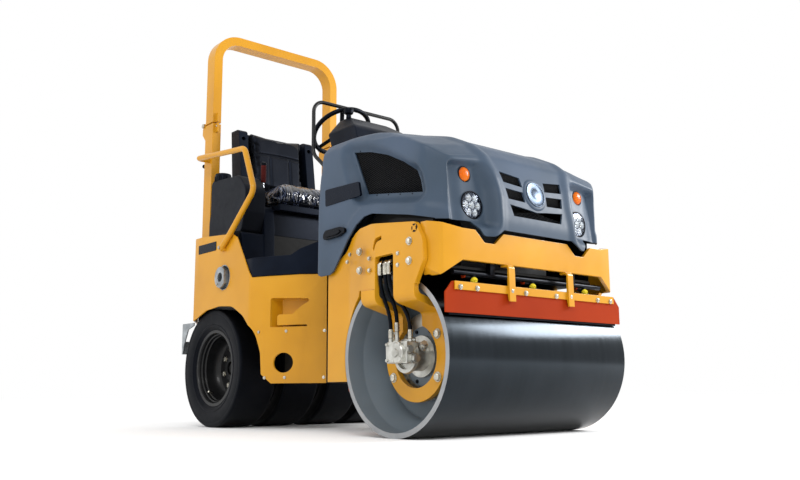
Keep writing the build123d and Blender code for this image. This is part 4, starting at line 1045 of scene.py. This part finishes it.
# %% Blank disc on the nose
nose_out = Vector((0.98, 0, 0.196))
disc_place = Vector((1.1985, 0, 1.113))
boss = [(-0.006, 0), (-0.006, 0.080), (0.002, 0.079), (0.007, 0.074), (0.008, 0.068), (0.008, 0)]
disc = [(0.006, 0), (0.006, 0.063), (0.010, 0.063), (0.0125, 0.060), (0.0125, 0.055),
        (0.0105, 0.052), (0.0105, 0.030), (0.0120, 0.027), (0.0125, 0)]
finish_piece("nose_boss", lathe(boss, disc_place, nose_out, 72, False), "slate_enamel", "hood")
finish_piece("nose_disc", lathe(disc, disc_place, nose_out, 72, False), "black_chrome", "hood")
print("disc of", 2 * disc[1][1], "m")

# %% [markdown]
# The plates on the hood and the rear body carry no text. They are cut like the knives,
# from an outline and a thickness, and their corners and rims are rounded.

# %% Blank plates and latches
def plate(outline, low, high, side, rounding):
    """Flat plate on one side of the machine, with rounded corners. Columns of outline: x, z."""
    shape = bmesh.new()
    knife(shape, outline, 0, 2, 1, side * low, side * high)
    bmesh.ops.recalc_face_normals(shape, faces=shape.faces)
    uprights = [edge for edge in shape.edges
                if abs((edge.verts[0].co - edge.verts[1].co).normalized().y) > 0.9]
    bevel_edges(shape, uprights, rounding, segments=5)
    bevel_edges(shape, sharp_edges(shape), FINE_EDGE)
    return shape


hood_badge = [(0.356, 1.204), (0.632, 1.197), (0.648, 1.125), (0.359, 1.118)]
rear_badge = [(-1.015, 1.100), (-0.790, 1.100), (-0.790, 1.045), (-1.015, 1.045)]
latch_body = [(0.372, 0.944), (0.500, 0.948), (0.548, 0.962), (0.545, 0.980), (0.505, 0.993),
              (0.385, 0.990), (0.366, 0.968)]
latch_grip = [(0.392, 0.954), (0.490, 0.957), (0.518, 0.967), (0.500, 0.980), (0.394, 0.979)]
flat_rows = [                # piece, body, material, plates: outline, inner y, outer y, rounding
    ("hood_badges", "hood", "anodised_plate", [(hood_badge, 0.600, 0.6125, 0.010)]),
    ("rear_badges", "rear", "anodised_plate", [(rear_badge, 0.599, 0.6025, 0.006)]),
    ("hood_latches", "hood", "black_nylon", [(latch_body, 0.606, 0.632, 0.010),
                                             (latch_grip, 0.632, 0.638, 0.006)]),
]
for name, body, material, plates in flat_rows:
    shapes = [plate(outline, low, high, side, rounding)
              for side in (-1, 1) for outline, low, high, rounding in plates]
    finish_piece(name, joined(shapes), material, body)
    print(name)

# %% Screws round the side windows
screw_gap, screw_y = 0.085, 0.5565
window_screws = bmesh.new()
screw_line = grown_outline(side_window, 1.07)
for start, end in zip(screw_line, screw_line[1:] + screw_line[:1]):
    count = max(1, round(math.dist(start, end) / screw_gap))
    for step in range(count):
        share = step / count
        x, z = (a + (b - a) * share for a, b in zip(start, end))
        for side in (-1, 1):
            spot, outward = (x, side * screw_y, z), (0, side, 0)
            add_cone(window_screws, spot, outward, -0.002, 0.0018, 0.0062, 0.0048, 12)
            add_cone(window_screws, spot, outward, 0.0018, 0.0026, 0.0030, 0.0024, 6)
finish_piece("window_screws", window_screws, "black_nylon", "hood")
print("screws every", screw_gap, "m")

# %% [markdown]
# The hydraulic hoses hang between the plate and the motor. Each one is a free length of
# rubber, so it is a smooth NURBS curve through the same few points as in the CAD model,
# with a round bevel for its thickness. Crimped sleeves hold both ends.

# %% Curves with a thickness
def nurbs_line(name, points, radius, roundness, steps):
    """Smooth curve that starts and ends at its end points, with a round bevel."""
    line = bpy.data.curves.new(name, "CURVE")
    line.dimensions = "3D"
    line.resolution_u = steps
    line.bevel_depth = radius
    line.bevel_resolution = roundness
    line.use_fill_caps = True
    spline = line.splines.new("NURBS")
    spline.points.add(len(points) - 1)
    for point, place in zip(spline.points, points):
        point.co = (*place, 1)
    spline.order_u = 3
    spline.use_endpoint_u = True
    return line


def curve_as_bmesh(line):
    """The curve's shape as a bmesh."""
    helper = bpy.data.objects.new("helper", line)
    mesh = bpy.data.meshes.new_from_object(helper)
    shape = bmesh.new()
    shape.from_mesh(mesh)
    bpy.data.objects.remove(helper)
    bpy.data.meshes.remove(mesh)
    return shape


print("curve helpers ready")

# %% Hydraulic hoses
hose_radius = 0.009
hose_routes = {              # points from the top elbow down to the motor
    "hose_rear": [(0.808, -0.622, 0.726), (0.808, -0.622, 0.662), (0.818, -0.568, 0.540),
                  (0.818, -0.568, 0.476)],
    "hose_middle": [(0.846, -0.622, 0.726), (0.846, -0.622, 0.660), (0.842, -0.552, 0.572),
                    (0.842, -0.552, 0.506)],
    "hose_front": [(0.872, -0.622, 0.726), (0.872, -0.622, 0.662), (0.930, -0.548, 0.534),
                   (0.930, -0.548, 0.470)],
}
for name, route in hose_routes.items():
    line = nurbs_line(name + "_rubber", route, hose_radius, 6, 24)
    line.materials.append(materials["hose_rubber"])
    hose = placed(name + "_rubber", line)
    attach(hose, "front")
    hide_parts(name)
    bare = line.copy()
    bare.bevel_depth = 0
    walked = curve_as_bmesh(bare)
    walked.free()
    bpy.data.curves.remove(bare)

# %% Crimped sleeves
up, down = (0, 0, 1), (0, 0, -1)
sleeves = bmesh.new()
for route in hose_routes.values():
    for place, outward, nut_end in ((route[0], up, 0.047), (route[-1], down, 0.036)):
        add_cone(sleeves, place, outward, -0.004, 0.004, 0.0104, 0.0116, 24)
        for crimp in range(5):
            low = 0.004 + crimp * 0.0058
            add_cone(sleeves, place, outward, low, low + 0.0046, 0.0121, 0.0121, 24)
        add_cone(sleeves, place, outward, 0.034, nut_end, 0.0135, 0.0135, 6)
finish_piece("hose_sleeves", sleeves, "zinc_plate", "front")
print(2 * len(hose_routes), "sleeves")

# %% [markdown]
# The seat is foam under vinyl. Foam swells between its seams, so each pad starts as a
# slightly smaller copy of its CAD block, gets an even voxel skin, and is inflated by a
# short cloth simulation with gravity off. How far a point may move is capped, and the
# sewn channels are pressed in afterwards, because the voxel skin would lose them.

# %% Inflate the seat's pads
pad_square = 0.006


def inflated(node, shrink, cap):
    """Smaller copy of a CAD pad, swollen by cloth pressure. Gives back a bmesh."""
    shape = merged_copy(node)
    middle = middle_of(node)
    bmesh.ops.translate(shape, verts=shape.verts, vec=-middle)
    bmesh.ops.scale(shape, verts=shape.verts, vec=shrink)
    bmesh.ops.translate(shape, verts=shape.verts, vec=middle)
    skin = evaluated(node + "_skin", shape, [
        ("REMESH", {"mode": "VOXEL", "voxel_size": pad_square})])
    smoothed(skin, 3, 0.5)
    start = [vertex.co.copy() for vertex in skin.verts]
    pad = placed(node + "_cloth", mesh_of(node + "_cloth", skin))
    cloth = pad.modifiers.new("cloth", "CLOTH")
    cloth.settings.quality = 5
    cloth.settings.use_pressure = True
    cloth.settings.uniform_pressure_force = 4
    cloth.settings.effector_weights.gravity = 0
    cloth.settings.mass = 0.3
    for frame_number in range(1, 21):
        bpy.context.scene.frame_set(frame_number)
    swollen = bmesh.new()
    swollen.from_object(pad, bpy.context.evaluated_depsgraph_get())
    bpy.data.meshes.remove(pad.data)
    bpy.context.scene.frame_set(1)
    for vertex, home in zip(swollen.verts, start):
        moved = vertex.co - home
        if moved.length > cap:
            vertex.co = home + moved * (cap / moved.length)
    return swollen


def groove(distance, width):
    """Depth share of a sewn channel: 1 on its line, fading to 0 over about its width."""
    return math.exp(-(distance / width) ** 2)


cushion = inflated("seat_cushion", (0.96, 0.96, 0.84), 0.024)
print("cushion", len(cushion.verts), "points")

# %% Cushion: one channel across, behind its front roll, and one along each side
seat_y = -0.075              # the seat stands a little to the right of the middle
cushion_low, cushion_high = (Vector(corner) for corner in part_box("seat_cushion"))
for vertex in cushion.verts:
    spot = vertex.co
    behind_front = cushion_high.x - spot.x
    front = soft(-behind_front, -0.13, -0.10)
    across_channel = groove(behind_front - 0.115, 0.006)
    side_channel = groove(abs(spot.y - seat_y) - 0.170, 0.006) * (1 - front)
    if spot.z > 1.39:
        spot.z -= 0.007 * max(across_channel, side_channel)
    spot.z = max(spot.z, cushion_low.z)
cushion_piece = finish_node("seat_cushion", cushion, "filmed_vinyl")
print("cushion", len(cushion_piece.data.polygons), "faces")

# %% Backrest: two upright channels under a curved one, and a wing at each side
backrest = inflated("seat_backrest", (0.76, 0.93, 0.95), 0.027)
for vertex in backrest.verts:
    spot = vertex.co
    across, height = spot.y - seat_y, spot.z
    facing = soft(spot.x + 0.155 * (height - 1.69), -0.968, -0.950)
    line = groove(height - 1.745 + 0.25 * across * across, 0.007)
    channel = max(groove(across - centre, 0.007) for centre in (-0.075, 0.075))
    channel *= 1 - soft(height, 1.725, 1.745)
    wing = groove(abs(across) - 0.150 - 0.06 * (height - 1.5), 0.008)
    spot.x -= 0.012 * facing * max(line, channel, 0.7 * wing)
backrest_piece = finish_node("seat_backrest", backrest, "seat_vinyl")
for piece in (cushion_piece, backrest_piece):
    smoother = piece.modifiers.new("round", "SUBSURF")
    smoother.levels = smoother.render_levels = 1
    piece.modifiers.move(1, 0)
    print(piece.name, len(piece.data.polygons), "faces")

# %% [markdown]
# A bead of piping runs round the foot of the cushion, a thin tube along a curve. The
# travel lever stands beside it: a chrome rod with a ribbed rubber grip, a nylon knob on
# top and a folded rubber boot at its foot, all of them turned about one upright axis.

# %% Piping round the cushion's foot
bead_z = 1.343
bead = [(-0.912, -0.318), (-0.912, -0.322), (-0.545, -0.322), (-0.528, -0.300), (-0.528, 0.150),
        (-0.545, 0.172), (-0.912, 0.172)]
bead_line = nurbs_line("seat_piping", [(x, y, bead_z) for x, y in bead], 0.004, 2, 8)
finish_piece("seat_piping", curve_as_bmesh(bead_line), "black_nylon", "rear")
bpy.data.curves.remove(bead_line)
print("piping made")

# %% Travel lever
lever_foot = Vector((-0.650, -0.3685, 1.320))
grip = [lathe([(0.150, 0), (0.150, 0.0105), (0.156, 0.0145), (0.165, 0.0160), (0.215, 0.0172),
               (0.262, 0.0160), (0.272, 0.0135), (0.276, 0)], lever_foot, up, 32, False)]
for rib in range(9):
    rise = 0.166 + rib * 0.010
    grip.append(lathe([(rise - 0.0018, 0.0158), (rise, 0.0186), (rise + 0.0018, 0.0158)],
                      lever_foot, up, 32))
knob = lathe([(0.254, 0), (0.254, 0.012), (0.258, 0.0165), (0.268, 0.019), (0.276, 0.0165),
              (0.280, 0.009), (0.281, 0)], lever_foot, up, 32, False)
folds = [(0.0, 0.050), (0.004, 0.050)]
for fold in range(5):
    folds += [(0.006 + fold * 0.010, 0.044 - fold * 0.006),
              (0.011 + fold * 0.010, 0.034 - fold * 0.005)]
boot = lathe(folds + [(0.060, 0.010), (0.060, 0), (0.0, 0)], lever_foot, up, 40, False)
rod = lathe([(0.040, 0), (0.040, 0.0068), (0.165, 0.0068), (0.165, 0)], lever_foot, up, 24, False)
lever = joined([rod, painted(joined(grip), 1), painted(knob, 2), painted(boot, 2)])
finish_node("travel_lever", lever, ["chrome", "grip_rubber", "black_nylon"])
print("lever made")

# %% [markdown]
# Small pieces make a machine look used by people: the ribbed caps of the tanks, knobs,
# plugs in the plates, the pins that the roll bar folds on, and the spray nozzles that wet
# the drum. Each is a few short cones and discs, set along the way that it points.

# %% Caps and knobs
cap_radius = 0.0515
caps = []
for side in (-1, 1):
    place = Vector((-0.935, side * 0.490, 1.548))
    caps.append(lathe([(-0.046, 0), (-0.046, cap_radius), (-0.006, cap_radius), (0.004, 0.046),
                       (0.004, 0.020), (0.010, 0.018), (0.010, 0)], place, up, 48, False))
    ribs = bmesh.new()
    for x, y in ring_points(place.x, place.y, cap_radius, 24):
        add_cone(ribs, (x, y, place.z), up, -0.042, -0.008, 0.0030, 0.0022, 8)
    caps.append(ribs)
caps.append(lathe([(0, 0), (0, 0.016), (0.020, 0.014), (0.028, 0.026), (0.044, 0.030),
                   (0.058, 0.027), (0.064, 0.014), (0.065, 0)], (-0.072, -0.148, 1.782),
                  up, 40, False))
for side in (-1, 1):
    caps.append(lathe([(0, 0), (0, 0.006), (0.010, 0.006), (0.013, 0.012), (0.022, 0.014),
                       (0.030, 0.011), (0.032, 0)], (-1.185, side * 0.484, 1.668), back, 28,
                      False))
finish_piece("caps_and_knobs", joined(caps), "black_nylon", "rear")
print(len(caps), "shapes in the caps and knobs")

# %% Plugs in the front plates
plugs = bmesh.new()
for side in (-1, 1):
    spot, outward = (1.068, side * 0.640, 0.903), (0, side, 0)
    add_cone(plugs, spot, outward, -0.002, 0.0012, 0.0190, 0.0185, 28, 1)
    add_cone(plugs, spot, outward, 0.0012, 0.0030, 0.0100, 0.0090, 24)
    for x, z in ring_points(spot[0], spot[2], 0.0135, 4, 0.5):
        add_cone(plugs, (x, spot[1], z), outward, 0.0012, 0.0030, 0.0042, 0.0036, 12)
finish_piece("plate_plugs", plugs, ["yellow_enamel", "black_nylon"], "front")
print("plugs made")

# %% Pins that the roll bar folds on
post_y, post_half = 0.466, 0.0385
pins = bmesh.new()
for side in (-1, 1):
    for face in (-1, 1):
        spot, outward = (-1.207, side * post_y + face * post_half, 1.940), (0, face, 0)
        add_cone(pins, spot, outward, -0.006, 0.001, 0.0150, 0.0150, 28)
        add_cone(pins, spot, outward, 0.001, 0.0045, 0.0085, 0.0070, 20)
    add_bolt(pins, (-1.072, side * 0.470, 1.915), ahead, 0.010)
finish_piece("fold_pins", pins, "zinc_plate", "rear")
print("pins made")

# %% Spray nozzles
nozzle_steps = [             # low, high, radii, sides, material: body, collar, cap, tip
    (-0.030, 0.004, 0.0115, 0.0115, 20, 1), (0.004, 0.010, 0.0150, 0.0150, 24, 0),
    (0.010, 0.022, 0.0165, 0.0120, 8, 0), (0.022, 0.027, 0.0070, 0.0050, 12, 0),
]
port_steps = [(-0.026, 0.010, 0.0095, 0.0095, 16, 1), (0.010, 0.018, 0.0112, 0.0112, 16, 2)]
spray = bmesh.new()
for y in (-0.384, 0, 0.384):
    nozzle = Vector((1.168, y - 0.004, 0.686))
    for step in nozzle_steps:
        add_cone(spray, nozzle, (0.72, -0.10, -0.55), *step)
    for step in port_steps:
        add_cone(spray, nozzle + Vector((-0.012, -0.034, 0.012)), (0, -1, 0.15), *step)
finish_piece("spray_nozzles", spray, ["yellow_nylon", "black_nylon", "red_enamel"], "front")
print("nozzles made")

# %% [markdown]
# The motor looks out through the ring: a machined cover with screws, plugs in its ports,
# and behind it the steel disc that is bolted to the rubber buffers.

# %% Motor's plugs and screws
motor_face = -0.580
fittings = bmesh.new()
plug_rows = [                # x, y, z, outward, radius, length
    (0.925, -0.560, 0.388, (1, -0.2, 0), 0.017, 0.030),
    (0.940, -0.545, 0.350, (1, -0.1, -0.1), 0.020, 0.034),
    (0.918, -0.530, 0.418, (0.6, 0, 1), 0.013, 0.024),
    (0.905, -0.585, 0.345, (0.3, -1, 0), 0.013, 0.016),
    (0.806, -0.550, 0.350, (-1, 0, 0), 0.013, 0.022),
    (0.962, -0.500, 0.400, (0.7, -0.4, 0.6), 0.015, 0.026),
]
for x, y, z, outward, radius, length in plug_rows:
    collar = length * 0.55
    add_cone(fittings, (x, y, z), outward, -0.010, collar, radius * 1.25, radius * 1.2, 24)
    add_cone(fittings, (x, y, z), outward, collar, length, radius, radius * 0.92, 6)
for x, z in ((0.817, 0.340), (0.905, 0.340), (0.817, 0.410), (0.905, 0.410), (0.861, 0.337)):
    spot = (x, motor_face - 0.008, z)
    add_cone(fittings, spot, right, -0.002, 0.008, 0.0075, 0.0070, 16)
    add_cone(fittings, spot, right, 0.008, 0.0085, 0.0040, 0.0030, 6)
print(len(plug_rows), "plugs")

# %% Motor's cover, round cap and flange
cover = bmesh.new()
knife(cover, [(0.806, 0.330), (0.914, 0.330), (0.916, 0.400), (0.900, 0.420), (0.820, 0.420),
              (0.804, 0.400)], 0, 2, 1, motor_face + 0.004, motor_face - 0.008)
bmesh.ops.recalc_face_normals(cover, faces=cover.faces)
bevel_edges(cover, sharp_edges(cover), 0.003)
round_cap = lathe([(-0.020, 0), (-0.020, 0.047), (0.006, 0.047), (0.010, 0.043), (0.010, 0.020),
                   (0.016, 0.017), (0.016, 0)], (0.878, motor_face - 0.004, 0.372), right, 48,
                  False)
axle_x, axle_z = 0.875, 0.360
flange = lathe([(0.0, 0.060), (0.014, 0.060), (0.014, 0.076), (0.0, 0.080)],
               (axle_x, -0.520, axle_z), right, 48)
finish_piece("motor_fittings", joined([fittings, cover, round_cap, flange]), "cast_aluminium",
             "front")
print("motor details made")

# %% Discs on the rubber buffers
disc_y, screw_ring = 0.415, 0.121
disc_shapes = []
for side in (-1, 1):
    outward = (0, side, 0)
    disc_shapes.append(lathe([(-0.002, 0.090), (0.004, 0.090), (0.006, 0.094), (0.006, 0.132),
                              (0.003, 0.138), (-0.002, 0.138)],
                             (axle_x, side * disc_y, axle_z), outward, 72))
    screws = bmesh.new()
    for x, z in ring_points(axle_x, axle_z, screw_ring, 8, 0.5):
        add_bolt(screws, (x, side * (disc_y + 0.006), z), outward, 0.0085)
    disc_shapes.append(painted(screws, 1))
finish_piece("disc_faces", joined(disc_shapes), ["slate_drum_paint", "black_nylon"], "front")
print("discs made")

# %% [markdown]
# The stage is a plain pale floor with soft studio light: a pale sky, a broad key from the
# machine's front right and a weaker fill from its rear right. A third light stands low on
# its front left, where the drum mirrors it as one bright band towards the camera. The
# camera stands low in front of the machine's right side and looks slightly up.

# %% Floor and sky
floor_shape = bmesh.new()
bmesh.ops.create_grid(floor_shape, x_segments=1, y_segments=1, size=30)
studio_floor = placed("studio_floor", mesh_of("studio_floor", floor_shape))
floor_paint = new_material("floor_paint", "#FFFFFF", 1.0, Specular_IOR_Level=0)
studio_floor.data.materials.append(floor_paint)

world = bpy.data.worlds.new("studio_sky")
world.use_nodes = True
sky = world.node_tree.nodes["Background"]
sky.inputs["Color"].default_value = colour("#FFFFFF")
sky.inputs["Strength"].default_value = 1.0
bpy.context.scene.world = world
bpy.context.scene.view_settings.view_transform = "Standard"
print("floor and sky")

# %% Lights
studio_lights = [            # name, place, looks at, width and height, watts
    ("key_light", (4.5, -4.5, 5.5), (0.3, 0, 1.0), (3.0, 2.0), 150),
    ("fill_light", (-3.0, -6.0, 3.0), (-0.3, 0, 0.9), (3.0, 2.0), 40),
    ("drum_light", (3.3, 4.0, 2.75), (1.20, 0, 0.50), (2.0, 1.1), 205),
]
for name, place, target, size, watts in studio_lights:
    lamp = bpy.data.lights.new(name, "AREA")
    lamp.shape = "RECTANGLE"
    lamp.size, lamp.size_y = size
    lamp.energy = watts
    holder = placed(name, lamp)
    holder.location = place
    holder.rotation_euler = (Vector(place) - Vector(target)).to_track_quat("Z", "Y").to_euler()
print(len(studio_lights), "lights")

# %% Camera
camera_data = bpy.data.cameras.new("camera")
camera_data.sensor_width = 36
camera_data.lens = 38.907
camera = placed("camera", camera_data)
sight = Vector((-0.75332, 0.634911, 0.171455))
roll = math.radians(-0.367)
camera.location = (3.8445, -3.0614, 0.2081)
camera.rotation_euler = ((-sight).to_track_quat("Z", "Y").to_matrix()
                         @ Matrix.Rotation(roll, 3, "Z")).to_euler()
bpy.context.scene.camera = camera
print("camera", tuple(camera.location))
